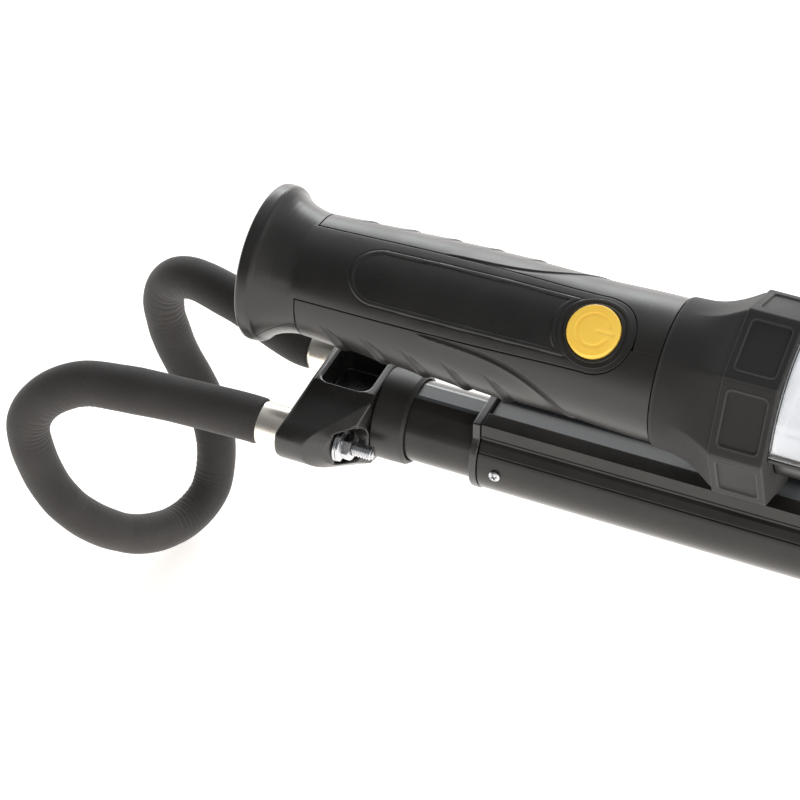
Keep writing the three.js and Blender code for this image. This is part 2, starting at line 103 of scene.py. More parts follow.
FLANGE_X = low("handle_end_cap")[0] - 0.8 - LEFT_END
BUMPER_X = low("bumper_near")[0] - LEFT_END
RING_END_X = high("bumper_near")[0] - LEFT_END
RING_X = RING_END_X - RING_LENGTH
FAR_RING_X = low("bumper_end")[0] - LEFT_END
FAR_RING_END_X = FAR_RING_X + RING_LENGTH
LAMP_END_X = high("bumper_end")[0] - LEFT_END

# ------------------------------------------------------------------ mesh helpers


def new_object(name, data):
    obj = bpy.data.objects.new(name, data)
    bpy.context.scene.collection.objects.link(obj)
    return obj


def mesh_object(name, piece, material, body, replaces=(), sharp=40):
    """Points and faces in millimetres become an object in metres that rides on a body."""
    points, faces = piece
    mesh = bpy.data.meshes.new(name)
    sizes = np.array([len(f) for f in faces])
    starts = np.concatenate([[0], np.cumsum(sizes)[:-1]])
    corners = np.concatenate([np.asarray(f, dtype=np.int32) for f in faces])
    mesh.vertices.add(len(points))
    metres = (np.asarray(points, float) + RAIL_AXIS) * MM
    mesh.vertices.foreach_set("co", metres.astype(np.float32).ravel())
    mesh.loops.add(len(corners))
    mesh.loops.foreach_set("vertex_index", corners)
    mesh.polygons.add(len(faces))
    mesh.polygons.foreach_set("loop_start", starts.astype(np.int32))
    mesh.update(calc_edges=True)
    mesh.validate()
    clean = bmesh.new()
    clean.from_mesh(mesh)
    bmesh.ops.remove_doubles(clean, verts=clean.verts, dist=2e-7)
    bmesh.ops.dissolve_degenerate(clean, edges=clean.edges, dist=2e-7)
    bmesh.ops.recalc_face_normals(clean, faces=clean.faces)
    clean.to_mesh(mesh)
    clean.free()
    mesh.shade_smooth()
    mesh.set_sharp_from_angle(angle=math.radians(sharp))
    mesh.materials.append(material)
    obj = new_object(name, mesh)
    if body:
        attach(obj, body)
    if replaces:
        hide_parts(*replaces)
    return obj


def finish_cad(node, material):
    mesh = frame["nodes"][node].data
    mesh.materials.clear()
    mesh.materials.append(material)


def grid_faces(rows, columns, offset=0, wrap_rows=False, wrap_columns=False, flip=False):
    """Quads of a grid of points stored row by row."""
    r = np.arange(rows if wrap_rows else rows - 1)
    c = np.arange(columns if wrap_columns else columns - 1)
    r, c = np.meshgrid(r, c, indexing="ij")
    r2, c2 = (r + 1) % rows, (c + 1) % columns
    quad = np.stack([r * columns + c, r * columns + c2, r2 * columns + c2, r2 * columns + c], -1)
    quad = quad.reshape(-1, 4) + offset
    return list(quad[:, ::-1] if flip else quad)


def double_wall(outer, inner, rows, columns):
    """Closed skin between two point grids of one shape that wrap round in their columns."""
    count = rows * columns
    faces = grid_faces(rows, columns, wrap_columns=True)
    faces += grid_faces(rows, columns, count, wrap_columns=True, flip=True)
    for row in (0, rows - 1):
        for c in range(columns):
            a, b = row * columns + c, row * columns + (c + 1) % columns
            faces.append([a, b, b + count, a + count])
    return np.concatenate([outer, inner]), faces


def fine_or_quick(fine):
    return fine


def smoothstep(low_edge, high_edge, value):
    t = np.clip((value - low_edge) / (high_edge - low_edge), 0, 1)
    return t * t * (3 - 2 * t)


HOLD = 0.15                      # a point this far past a rounded edge keeps flats shaded flat


def rounded(points, radius, steps=3, closed=True):
    """The outline with each corner turned into an arc of about that radius."""
    points = [np.asarray(p, float) for p in points]
    count = len(points)
    out = []
    for i, p in enumerate(points):
        if not closed and i in (0, count - 1):
            out.append(p)
            continue
        before, after = points[i - 1] - p, points[(i + 1) % count] - p
        len_a, len_b = np.linalg.norm(before), np.linalg.norm(after)
        a, b = before / len_a, after / len_b
        angle = math.acos(max(-1, min(1, a @ b)))
        if angle > math.radians(172):
            out.append(p)
            continue
        cut = min(radius / math.tan(angle / 2), 0.45 * len_a, 0.45 * len_b)
        start, end = p + a * cut, p + b * cut
        hold_a, hold_b = min(cut + HOLD, 0.49 * len_a), min(cut + HOLD, 0.49 * len_b)
        out.append(p + a * hold_a)
        for k in range(steps + 1):
            t = k / steps
            out.append((1 - t) ** 2 * start + 2 * t * (1 - t) * p + t * t * end)
        out.append(p + b * hold_b)
    return np.array(out)


def arc(cx, cy, radius, start, end, steps):
    t = np.radians(np.linspace(start, end, steps + 1))
    return np.stack([cx + radius * np.cos(t), cy + radius * np.sin(t)], 1)


def place(x, y, z, turn=0.0, lift=0.0):
    """Points given along a piece's own axis, turned about X and moved to y 0, z lift."""
    c, s = math.cos(turn), math.sin(turn)
    return np.stack([x, c * y - s * z, s * y + c * z + lift], -1)


def on_lamp(x, angle, radius):
    """Points of the lamp, from places along it."""
    t = np.radians(angle)
    points = place(x + LEFT_END, radius * np.sin(t), radius * np.cos(t), LAMP_TURN, LAMP_AXIS_Z)
    return points.reshape(-1, 3)


def spun(x, radius, turn):
    """Points at a radius and a turn about the X axis."""
    return np.stack([x, radius * np.cos(turn), radius * np.sin(turn)], -1).reshape(-1, 3)


def full_turn(count):
    return np.linspace(0, 2 * np.pi, count, endpoint=False)


def revolve(profile, segments=96, fillet=0.0):
    """Points and faces of a closed (x, radius) outline turned about the X axis."""
    outline = rounded(profile, fillet)
    radius, turn = np.meshgrid(outline[:, 1], full_turn(segments), indexing="ij")
    x = np.repeat(outline[:, :1], segments, 1)
    return spun(x, radius, turn), grid_faces(*x.shape, wrap_rows=True, wrap_columns=True)


def unit(vectors):
    return vectors / np.maximum(np.linalg.norm(vectors, axis=-1, keepdims=True), 1e-9)


def offset_outline(outline, distance):
    """The closed outline moved towards its inside."""
    after = unit(np.roll(outline, -1, 0) - outline)
    before = unit(outline - np.roll(outline, 1, 0))
    tangent = unit(after + before)
    normal = np.stack([-tangent[:, 1], tangent[:, 0]], 1)
    following = np.roll(outline, -1, 0)
    area = np.sum(outline[:, 0] * following[:, 1] - following[:, 0] * outline[:, 1])
    side = 1 if area > 0 else -1
    stretch = 1 / np.maximum(np.sqrt((1 + np.sum(after * before, 1)) / 2), 0.5)
    return outline + normal * side * (distance * stretch)[:, None]


def extrude(outline, x0, x1, holes=(), bevel=0.25):
    """A (y, z) outline pushed along X, its two end edges rounded. Holes stay square."""
    outline = np.asarray(outline, float)
    steps = 2
    stations = [(x0 + bevel - bevel * math.cos(k / steps * math.pi / 2),
                 bevel - bevel * math.sin(k / steps * math.pi / 2)) for k in range(steps + 1)]
    stations.append((x0 + bevel + min(HOLD, 0.1 * (x1 - x0)), 0))
    stations += [(x0 + x1 - x, inset) for x, inset in reversed(stations)]
    points, faces = [], []
    count = len(outline)
    for x, inset in stations:
        ring = offset_outline(outline, inset) if inset > 1e-9 else outline
        points += [(x, y, z) for y, z in ring]
    faces += grid_faces(len(stations), count, wrap_columns=True)
    hole_starts = []
    for hole in holes:
        hole_starts.append(len(points))
        points += [(x0, y, z) for y, z in hole] + [(x1, y, z) for y, z in hole]
        faces += grid_faces(2, len(hole), hole_starts[-1], wrap_columns=True)
    for end, station in ((0, 0), (1, len(stations) - 1)):
        index = list(range(station * count, (station + 1) * count))
        loops = [[Vector((points[i][1], points[i][2], 0)) for i in index]]
        for start, hole in zip(hole_starts, holes):
            ids = list(range(start + end * len(hole), start + (end + 1) * len(hole)))
            index += ids
            loops.append([Vector((points[i][1], points[i][2], 0)) for i in ids])
        faces += [[index[i] for i in tri] for tri in tessellate_polygon(loops)]
    return np.array(points), faces


def slab(x, angle, outer, inner):
    """Closed skin between two radii over a grid of lamp places, all four of one shape."""
    rows, columns = x.shape
    count = rows * columns
    points = np.concatenate([on_lamp(x, angle, outer), on_lamp(x, angle, inner)])
    faces = grid_faces(rows, columns) + grid_faces(rows, columns, count, flip=True)
    rim = [r * columns for r in range(rows)]
    rim += [(rows - 1) * columns + c for c in range(1, columns)]
    rim += [r * columns + columns - 1 for r in range(rows - 2, -1, -1)]
    rim += list(range(columns - 2, 0, -1))
    for a, b in zip(rim, rim[1:] + rim[:1]):
        faces.append([a, b, b + count, a + count])
    return points, faces


def pull_to_surface(distance, points):
    """Points moved along the slope of the field to where it is zero."""
    reach = 0.04
    x, y, z = points.T
    slope = np.stack([
        distance(x + reach, y, z) - distance(x - reach, y, z),
        distance(x, y + reach, z) - distance(x, y - reach, z),
        distance(x, y, z + reach) - distance(x, y, z - reach)], 1) / (2 * reach)
    square = np.maximum(np.sum(slope**2, 1), 0.25)
    step = slope * (distance(x, y, z) / square)[:, None]
    return points - np.clip(step, -0.15, 0.15)


def surface_net(distance, lo, hi, step):
    """Points and faces of the surface where distance(x, y, z) is zero."""
    axes = [np.arange(a - step, b + 2 * step, step) for a, b in zip(lo, hi)]
    gx, gy, gz = np.meshgrid(*axes, indexing="ij")
    field = distance(gx, gy, gz)
    inside = field < 0
    shape = np.array(field.shape)
    corner = [(i, j, k) for i in (0, 1) for j in (0, 1) for k in (0, 1)]
    cut = lambda a, c: a[tuple(slice(k, n - 1 + k) for k, n in zip(c, shape))]
    filled = sum(cut(inside, c).astype(np.int8) for c in corner)
    active = (filled > 0) & (filled < 8)
    ids = -np.ones(active.shape, np.int64)
    ids[active] = np.arange(active.sum())
    total = np.zeros((active.sum(), 3))
    hits = np.zeros(len(total))
    for a in corner:
        for axis in range(3):
            if a[axis] == 1:
                continue
            b = tuple(v + (n == axis) for n, v in enumerate(a))
            fa, fb = cut(field, a)[active], cut(field, b)[active]
            crossing = (fa < 0) != (fb < 0)
            t = np.where(crossing, fa / np.where(crossing, fa - fb, 1), 0)
            spot = np.array(a, float)[None] + t[:, None] * (np.arange(3) == axis)[None]
            total += np.where(crossing[:, None], spot, 0)
            hits += crossing
    cells = np.argwhere(active)
    points = (cells + total / hits[:, None]) * step + np.array([a[0] for a in axes])
    faces = []
    for axis in range(3):
        u, v = [k for k in range(3) if k != axis]
        here, there = [slice(1, -1)] * 3, [slice(1, -1)] * 3
        here[axis], there[axis] = slice(0, -1), slice(1, None)
        first, second = inside[tuple(here)], inside[tuple(there)]
        where = np.argwhere(first != second)
        base = where.copy()
        base[:, [u, v]] += 1

        def cell(du, dv):
            c = base.copy()
            c[:, u] += du
            c[:, v] += dv
            return ids[tuple(c.T)]

        quad = np.stack([cell(-1, -1), cell(0, -1), cell(0, 0), cell(-1, 0)], 1)
        forward = first[tuple(where.T)] ^ (axis == 1)
        quad[~forward] = quad[~forward][:, ::-1]
        faces.append(quad)
    quads = np.concatenate(faces)
    edges = np.concatenate([quads[:, [k, (k + 1) % 4]] for k in range(4)])
    for _ in range(2):
        total = np.zeros_like(points)
        hits = np.zeros(len(points))
        for a, b in ((0, 1), (1, 0)):
            np.add.at(total, edges[:, a], points[edges[:, b]])
            np.add.at(hits, edges[:, a], 1)
        points = 0.5 * points + 0.5 * total / hits[:, None]
    for _ in range(2):
        points = pull_to_surface(distance, points)
    return points, list(quads)


# ------------------------------------------------------------------ materials


class Tree:
    """A node tree with short ways to add nodes."""

    def __init__(self, tree):
        self.tree = tree

    def link(self, a, b):
        self.tree.links.new(a, b)

    def add(self, kind, output, inputs=(), **settings):
        """A new node's output. Each input takes a value or another node's output."""
        node = self.tree.nodes.new(f"ShaderNode{kind}")
        for key, value in settings.items():
            setattr(node, key, value)
        for key, value in dict(inputs).items():
            if isinstance(value, bpy.types.NodeSocket):
                self.link(value, node.inputs[key])
            else:
                node.inputs[key].default_value = value
        return node.outputs[output]

    def remap(self, value, from_low, from_high, to_low, to_high, **settings):
        return self.add("MapRange", "Result", {
            "Value": value, "From Min": from_low, "From Max": from_high,
            "To Min": to_low, "To Max": to_high}, **settings)

    def math(self, operation, a, b):
        return self.add("Math", 0, {0: a, 1: b}, operation=operation)


class Nodes(Tree):
    """A Principled material with a few short ways to add detail."""

    def __init__(self, name, **inputs):
        self.material = bpy.data.materials.new(name)
        self.material.use_nodes = True
        super().__init__(self.material.node_tree)
        self.shader = self.tree.nodes["Principled BSDF"]
        for key, value in inputs.items():
            self.shader.inputs[key.replace("_", " ")].default_value = value
        self.place = self.add("TexCoord", "Object")
        self.normal = None

    def feed(self, value, key):
        self.link(value, self.shader.inputs[key])

    def stretch(self, scale):
        return self.add("Mapping", "Vector", {"Scale": scale, "Vector": self.place})

    def noise(self, scale, detail=3.0, roughness=0.55, vector=None):
        return self.add("TexNoise", "Fac", {"Scale": scale, "Detail": detail,
                                            "Roughness": roughness, "Vector": vector or self.place})

    def cells(self, scale):
        return self.add("TexVoronoi", "Distance", {"Scale": scale, "Vector": self.place})

    def roughness_from(self, value, low_value, high_value, span=(0.3, 0.7)):
        self.feed(self.remap(value, *span, low_value, high_value), "Roughness")

    def colour_from(self, value, dark, light, span=(0.3, 0.7)):
        ramp = self.tree.nodes.new("ShaderNodeValToRGB")
        for element, at, colour in zip(ramp.color_ramp.elements, span, (dark, light)):
            element.position = at
            element.color = (*colour, 1)
        self.link(value, ramp.inputs["Fac"])
        self.feed(ramp.outputs["Color"], "Base Color")

    def mix_colour(self, colour, mask):
        base = self.shader.inputs["Base Color"].links[0].from_socket
        self.feed(self.add("Mix", "Result", {"A": base, "B": (*colour, 1), "Factor": mask},
                           data_type="RGBA"), "Base Color")

    def paler_edges(self, colour, amount):
        """Slightly paler colour where an edge stands proud; on the boot's rubber this is a painted
        highlight.
        """
        pointiness = self.add("NewGeometry", "Pointiness")
        self.mix_colour(colour, self.remap(pointiness, 0.505, 0.54, 0.0, amount))

    def bump(self, value, height_mm):
        inputs = {"Distance": height_mm * MM, "Height": value}
        if self.normal:
            inputs["Normal"] = self.normal
        self.normal = self.add("Bump", "Normal", inputs)
        self.feed(self.normal, "Normal")

    def between(self, axis, start, end):
        """One inside a range of millimetres along an axis from the rail's axis, else nought."""
        soft = 0.15
        along = self.add("SeparateXYZ", axis, {"Vector": self.place})
        origin = float(RAIL_AXIS["XYZ".index(axis)])
        edges = ((origin + start - soft, origin + start), (origin + end + soft, origin + end))
        return self.math("MULTIPLY", *[self.remap(along, a * MM, b * MM, 0.0, 1.0)
                                       for a, b in edges])


def drifting(name, cloud, tones, roughness, grain, **inputs):
    """Material whose tone and roughness drift with one noise, under finer grain.

    The cloud is that noise's scale and detail; each layer of grain is a kind of pattern,
    its scale, its detail and its height in millimetres."""
    m = Nodes(name, **inputs)
    drift = m.noise(*cloud)
    m.colour_from(drift, *tones)
    m.roughness_from(drift, *roughness)
    for kind, scale, levels, height in grain:
        m.bump(m.cells(scale) if kind == "cells" else m.noise(scale, levels), height)
    return m


def evenly_rough(name, pattern, tones, height, roughness, **inputs):
    """Material whose tone and grain follow one pattern, of constant roughness."""
    m = Nodes(name, Roughness=roughness, **inputs)
    value = m.cells(pattern[0]) if len(pattern) == 1 else m.noise(*pattern)
    span = (0.2, 0.6) if len(pattern) == 1 else (0.3, 0.7)
    m.colour_from(value, *tones, span)
    m.bump(value, height)
    return m.material


def make_anodised():
    """Black anodised extrusion, drawn lengthwise, with a painted sheen on the slot's floor, where
    it also reflects more, and slot lips that reflect less.
    """
    m = Nodes("anodised_black")
    lines = m.noise(1, 4, 0.7, m.stretch((8, 9000, 9000)))
    haze = m.noise(60, 4)
    m.colour_from(haze, (0.015, 0.0136, 0.0125), (0.023, 0.021, 0.0193))
    m.roughness_from(lines, 0.17, 0.28)
    m.bump(lines, 0.004)
    slot_painted_sheen = m.math("MULTIPLY", m.between("Z", 13.6, 15.3), m.between("Y", -9.0, 9.0))
    on_lips = m.math("MULTIPLY", m.between("Z", 17.3, 18.0), m.between("Y", -12.4, 12.4))
    # painted sheen: the slot's floor is mixed to a paler, bluish grey that stands for the light it
    # reflects
    m.mix_colour((0.07, 0.075, 0.08), slot_painted_sheen)
    m.feed(m.math("MULTIPLY", m.remap(slot_painted_sheen, 0, 1, 0.38, 0.8),
                  m.remap(on_lips, 0, 1, 1.0, 0.25)), "Specular IOR Level")
    return m.material


def make_rubber():
    """Dull boot rubber, with a painted highlight along its edges."""
    m = drifting("bumper_rubber", (35, 6), ((0.018, 0.0172, 0.0172), (0.028, 0.0268, 0.0264)),
                 (0.55, 0.72), [("cells", 2600, 0, 0.02), ("noise", 900, 4, 0.02)],
                 Specular_IOR_Level=0.28)
    # painted highlight: the boot's proud edges are mixed towards a paler grey
    m.paler_edges((0.11, 0.108, 0.106), 0.45)
    return m.material


def make_foam():
    """Closed-cell foam: fine pores over a soft, uneven skin."""
    m = Nodes("foam_sleeve", Specular_IOR_Level=0.42, Sheen_Weight=0.12, Sheen_Roughness=0.5)
    cloud = m.noise(30, 6)
    m.colour_from(cloud, (0.025, 0.0228, 0.022), (0.04, 0.0368, 0.0354))
    pores = m.cells(2300)
    m.roughness_from(pores, 0.66, 0.84, (0.1, 0.6))
    m.bump(pores, 0.05)
    m.bump(m.noise(700, 5, 0.7), 0.07)
    return m.material


def make_nickel():
    """Turned nickel with rings round its axis."""
    m = Nodes("bright_nickel", Metallic=1)
    turned = m.noise(1, 4, 0.7, m.stretch((6000, 120, 120)))
    m.colour_from(turned, (0.86, 0.82, 0.73), (0.95, 0.91, 0.83))
    m.roughness_from(turned, 0.27, 0.35)
    m.bump(turned, 0.0015)
    return m.material


def make_steel():
    """Gooseneck steel, ribbed across its length."""
    m = Nodes("spring_steel", Roughness=0.4, Metallic=1)
    coil = m.noise(1, 3, 0.6, m.stretch((2500, 200, 200)))
    m.colour_from(coil, (0.2, 0.2, 0.21), (0.42, 0.42, 0.42))
    m.bump(coil, 0.05)
    return m.material


def make_yellow():
    """Translucent amber plastic, a little paler on its edges, with a faint painted glow."""
    # the emission is a faint painted glow in the amber
    m = drifting("amber_button", (120, 4), ((0.98, 0.6, 0.07), (1.0, 0.66, 0.1)), (0.3, 0.42),
                 [("noise", 2500, 2, 0.006)], Subsurface_Weight=0.08, Subsurface_Scale=0.002,
                 Emission_Strength=0.1, Emission_Color=(1, 0.62, 0.1, 1))
    m.paler_edges((0.97, 0.66, 0.16), 0.4)
    return m.material


def make_lens():
    """Clear moulded plastic with faint flow lines."""
    m = Nodes("clear_lens", Base_Color=(0.97, 0.98, 1.0, 1), Transmission_Weight=1.0, IOR=1.49)
    swirl = m.noise(40, 3)
    m.roughness_from(swirl, 0.008, 0.03)
    m.bump(swirl, 0.004)
    return m.material


def make_board():
    """White solder mask."""
    m = Nodes("white_solder_mask", Roughness=0.4)
    m.colour_from(m.noise(200, 3), (0.8, 0.8, 0.77), (0.9, 0.9, 0.88))
    m.bump(m.noise(1500, 2), 0.01)
    return m.material


ANODISED = make_anodised()
GLOSS = drifting("gloss_black_nylon", (90, 5),
                 ((0.0095, 0.009, 0.0083), (0.0145, 0.0135, 0.0126)),
                 (0.2, 0.34), [("noise", 260, 2, 0.012), ("noise", 3500, 2, 0.004)],
                 Specular_IOR_Level=0.75).material
SATIN = drifting("satin_black_plastic", (55, 5),
                 ((0.012, 0.0116, 0.0112), (0.0175, 0.0168, 0.0162)),
                 (0.24, 0.36), [("cells", 4200, 0, 0.006), ("noise", 220, 2, 0.012)]).material
GRIP = drifting("soft_touch_grip", (45, 5), ((0.011, 0.0102, 0.0095), (0.019, 0.0177, 0.0166)),
                (0.29, 0.4), [("cells", 3200, 0, 0.01), ("noise", 240, 2, 0.012)]).material
RUBBER = make_rubber()
COLLAR = drifting("collar_rubber", (50, 5), ((0.015, 0.0138, 0.0128), (0.022, 0.0206, 0.0195)),
                  (0.36, 0.5), [("cells", 3000, 0, 0.01)], Specular_IOR_Level=0.45).material
FOAM = make_foam()
ZINC = drifting("bright_zinc", (300, 4), ((0.48, 0.5, 0.53), (0.6, 0.61, 0.62)), (0.2, 0.3),
                [("noise", 2600, 3, 0.002)], Metallic=1).material
NICKEL = make_nickel()
STEEL = make_steel()
YELLOW = make_yellow()
LENS = make_lens()
# the reflector's emission is a painted glow that brightens it behind the lens, with the LEDs off
REFLECTOR = drifting("metallised_reflector", (70, 3), ((0.92, 0.93, 0.95), (0.98, 0.985, 0.99)),
                     (0.36, 0.46), [("noise", 260, 2, 0.004)], Metallic=0.25,
                     Emission_Strength=0.2, Emission_Color=(1, 1, 1, 1)).material
LED = evenly_rough("led_phosphor", (1500, 3), ((0.9, 0.78, 0.24), (0.96, 0.88, 0.42)), 0.01, 0.35)
CIRCUIT = evenly_rough("green_solder_mask", (450,), ((0.02, 0.11, 0.05), (0.05, 0.22, 0.1)),
                       0.02, 0.35)
CELL = evenly_rough("cell_wrap", (120, 4), ((0.04, 0.12, 0.36), (0.07, 0.18, 0.46)), 0.02, 0.3)
BOARD = make_board()

# ------------------------------------------------------------------ rail

RAIL_RADIUS = 16.2
BORE_RADIUS = 15.1
BOX_HALF = 12.6
BOX_BOTTOM = BOX_TOP - 4.9
SLOT_HALF = 5.9
SLOT_FLOOR = 15.1
UNDERCUT_HALF = 8.6
TUBE_RADIUS = 14.2
TUBE_FLAT = 13.88
TUBE_BORE = 12.9


def keyed_circle(radius, flat):
    """A circle with its top cut off level, starting at the flat's left end."""
    angle = math.degrees(math.asin(flat / radius))
    return arc(0, 0, radius, 180 - angle, 360 + angle, 120)


def rail_half():
    """Right half of the rail's outline, from the slot's floor round to the bottom."""
    lip = BOX_TOP - 1
    sharp = [
        (UNDERCUT_HALF, SLOT_FLOOR), (UNDERCUT_HALF, lip), (SLOT_HALF, lip), (SLOT_HALF, BOX_TOP),
        (BOX_HALF, BOX_TOP), (BOX_HALF, BOX_BOTTOM), (BOX_HALF + 0.3, BOX_BOTTOM - 0.35),
        (BOX_HALF + 0.3, BOX_BOTTOM - 0.95), (BOX_HALF - 0.7, BOX_BOTTOM - 1.25),
        (BOX_HALF - 0.7, BOX_BOTTOM - 2.1), (13.0, 9.75), (14.6, 7.0), (14.25, 6.65),
    ]
    corner = rounded(sharp + [tuple(arc(0, 0, RAIL_RADIUS, 23, 22, 1)[0])], 0.18, 3, closed=False)
    return np.concatenate([corner[:-1], arc(0, 0, RAIL_RADIUS, 23, -89.5, 72)])


def mirror(outline):
    return (outline * [-1, 1])[::-1]


def build_rail():
    """Round tube under a slotted box, one extrusion."""
    half = rail_half()
    outline = np.concatenate([half, mirror(half)])
    bore = keyed_circle(BORE_RADIUS, SLOT_FLOOR - 0.75)
    rail = extrude(outline, low("outer_rail")[0], high("outer_rail")[0], [bore], 0.15)
    mesh_object("outer_rail_extrusion", rail, ANODISED, "rail", ["outer_rail"], 30)


def build_end_cap(side, sign):
    """Plate on the rail's end that follows its outline and guides the tube."""
    proud = 0.45
    outline = np.concatenate([
        [(BOX_HALF + proud, BOX_TOP), (-BOX_HALF - proud, BOX_TOP)],
        [(-BOX_HALF - proud, BOX_BOTTOM - 1.1), (-12.9, BOX_BOTTOM - 1.5)],
        arc(0, 0, RAIL_RADIUS + proud, 146, 394, 96),
        [(12.9, BOX_BOTTOM - 1.5), (BOX_HALF + proud, BOX_BOTTOM - 1.1)],
    ])
    bore = arc(0, 0, TUBE_RADIUS + FIT, 0, 357, 119)
    edge = LEFT_END if sign < 0 else RIGHT_END
    x0, x1 = sorted((edge, edge - sign * CAP_WIDTH))
    mesh_object(f"{side}_rail_end_cap", extrude(rounded(outline, 0.5), x0, x1, [bore], 0.35),
                GLOSS, "rail", [f"{side}_end_cap"], 35)


def build_cap_screw(side, spot):
    """Pan-head screw with a cross recess, its head facing out along Y."""
    node = f"{side}_{spot}_cap_screw"
    centre = (low(node) + high(node)) / 2
    sign = -1 if spot == "front" else 1
    radius, count = 2.0, 96
    rings = np.concatenate([np.linspace(0, 1.25, 18), np.linspace(1.32, radius, 12)])
    r, t = np.meshgrid(rings, full_turn(count), indexing="ij")
    dome = 1.45 * np.sqrt(np.maximum(0, 1 - (r / (radius * 1.16)) ** 2))
    u, v = np.abs(r * np.cos(t + 0.4)), np.abs(r * np.sin(t + 0.4))
    arm = np.minimum(np.maximum(u / 1.15, v / 0.3), np.maximum(v / 1.15, u / 0.3))
    height = dome - 0.7 * (1 - smoothstep(0.75, 1.1, arm))
    r, t, height = [np.concatenate([a, a[-1:]]) for a in (r, t, height)]
    height[-1] = -0.2                                     # the skirt under the head
    points = np.stack([r * np.cos(t), height, r * np.sin(t)], -1).reshape(-1, 3)
    faces = grid_faces(*r.shape, wrap_columns=True)
    faces.append(list(range(len(rings) * count, r.size)))
    points = points * [1, sign, sign] + [centre[0], sign * RAIL_RADIUS, centre[2]]
    mesh_object(f"{side}_{spot}_pan_head_screw", (points, faces), ZINC, "rail", [node], 30)


# ------------------------------------------------------------------ telescopic ends

BRACKET_LEFT = low("left_bracket")[0] - LEFT_END
BRACKET_RIGHT = low("left_inner_tube")[0] - LEFT_END - 0.3
COLLAR_RIGHT = high("left_collar")[0] - LEFT_END
BRACKET_TOP = high("left_bracket")[2]
EAR_Y = 22.0
EAR_Z = (high("left_front_washer")[2] + low("left_front_washer")[2]) / 2
EAR_RADIUS = 9.8
NUT_SEAT = low("left_front_washer")[0] - LEFT_END - 0.3
BOLT_END = high("left_front_hook_bolt")[0] - LEFT_END
STUD_RADIUS = 2.45
NUT_APOTHEM, NUT_CORNER, NUT_BORE = 4.0, 4.5, 2.55


class End:
    """One end of the rail: its own millimetres run from the rail's left end, and the right
    end is the same turned half a turn about Z."""

    def __init__(self, side):
        self.side = side
        self.arm = f"{side}_arm"
        self.hook = f"{side}_hook"
        self.sign = 1 if side == "left" else -1

    def world(self, points):
        edge = LEFT_END if self.side == "left" else RIGHT_END
        return points * [self.sign, self.sign, 1] + [edge, 0, 0]

    def add(self, name, piece, material, node, sharp, body=None):
        points, faces = piece
        return mesh_object(f"{self.side}_{name}", (self.world(points), faces), material,
                           body, [f"{self.side}_{node}"], sharp)

    def rows(self):
        """Each fixing's place name and its sign along this end's own Y."""
        front = -1 if self.side == "left" else 1
        return (("front", front), ("rear", -front))


def smooth_max(a, b, k):
    h = np.clip(0.5 - 0.5 * (b - a) / k, 0, 1)
    return b + (a - b) * h + k * h * (1 - h)


def smooth_min(a, b, k):
    return -smooth_max(-a, -b, k)


def chamfer_max(a, b, size):
    """The part common to two solids, its new edge cut off at an angle."""
    return np.maximum(np.maximum(a, b), (a + b + size) * math.sqrt(0.5))


def rounded_rectangle(u, v, half_u, half_v, corner):
    """Distance to a rounded rectangle centred on nought."""
    du, dv = np.abs(u) - (half_u - corner), np.abs(v) - (half_v - corner)
    inside = np.minimum(np.maximum(du, dv), 0)
    return np.hypot(np.maximum(du, 0), np.maximum(dv, 0)) + inside - corner


def hull_of_circles(y, z, circles):
    """Distance to the convex shape wrapped round circles given anticlockwise."""
    normals = []
    for (ya, za, ra), (yb, zb, rb) in zip(circles, circles[1:] + circles[:1]):
        dy, dz = yb - ya, zb - za
        angle = math.atan2(dz, dy) - math.pi / 2 + math.asin((ra - rb) / math.hypot(dy, dz))
        normals.append((math.cos(angle), math.sin(angle)))
    result = np.full_like(y, -1e9)
    for (yc, zc, rc), (ny, nz) in zip(circles, normals):
        result = np.maximum(result, (y - yc) * ny + (z - zc) * nz - rc)
    for i, (yc, zc, rc) in enumerate(circles):
        (ay, az), (by, bz) = normals[i - 1], normals[i]
        dy, dz = y - yc, z - zc
        beside = (ay * dz - az * dy >= 0) & (dy * bz - dz * by >= 0)
        result = np.where(beside, np.hypot(dy, dz) - rc, result)
    return result


def bracket_distance(x, y, z):
    """The bracket's hub and ears, less its slanted sides, nut seats and top pocket."""
    ay = np.abs(y)
    corner = 1.0
    body = hull_of_circles(y, z, [
        (-EAR_Y, EAR_Z, EAR_RADIUS), (0, 0, 16.2), (EAR_Y, EAR_Z, EAR_RADIUS),
        (10.9, BRACKET_TOP - corner, corner), (-10.9, BRACKET_TOP - corner, corner)])
    lean = 0.45 * (np.maximum(0, z - 3) + np.maximum(0, -z - 7))
    body = smooth_max(body, BRACKET_LEFT + lean - x, 1.8)
    body = smooth_max(body, x - BRACKET_RIGHT, 0.7)
    run, rise = 17.0, 16.5
    slant = ((x - (BRACKET_LEFT + 13)) * rise + (ay - 33) * run) / math.hypot(run, rise)
    body = chamfer_max(body, slant, 2.6)
    from_bolt = np.hypot(ay - EAR_Y, z - EAR_Z)
    seat = np.maximum(from_bolt - 7.2, NUT_SEAT - x)
    body = chamfer_max(body, -seat, 0.5)
    body = np.maximum(body, 2.8 - from_bolt)
    pocket = rounded_rectangle(x - (BRACKET_LEFT + 17), y, 8.8, 10.6, 3.5)
    pocket = smooth_max(pocket, 4.5 - z, 1.0)
    return chamfer_max(body, -pocket, 0.7)


def thread(x, angle, start, end, radius):
    """Radius of a screw thread that fades in at its start and is chamfered at its end."""
    pitch, depth = 1.0, 0.5
    turn = (x / pitch + angle / (2 * np.pi)) % 1.0
    ridge = np.clip(1.6 * np.abs(turn - 0.5) - 0.15, 0, 0.5) / 0.5
    fade = smoothstep(start, start + 1.2, x)
    chamfer = np.maximum(0, x - (end - 0.7))
    return radius - depth * (1 - ridge) * fade - chamfer


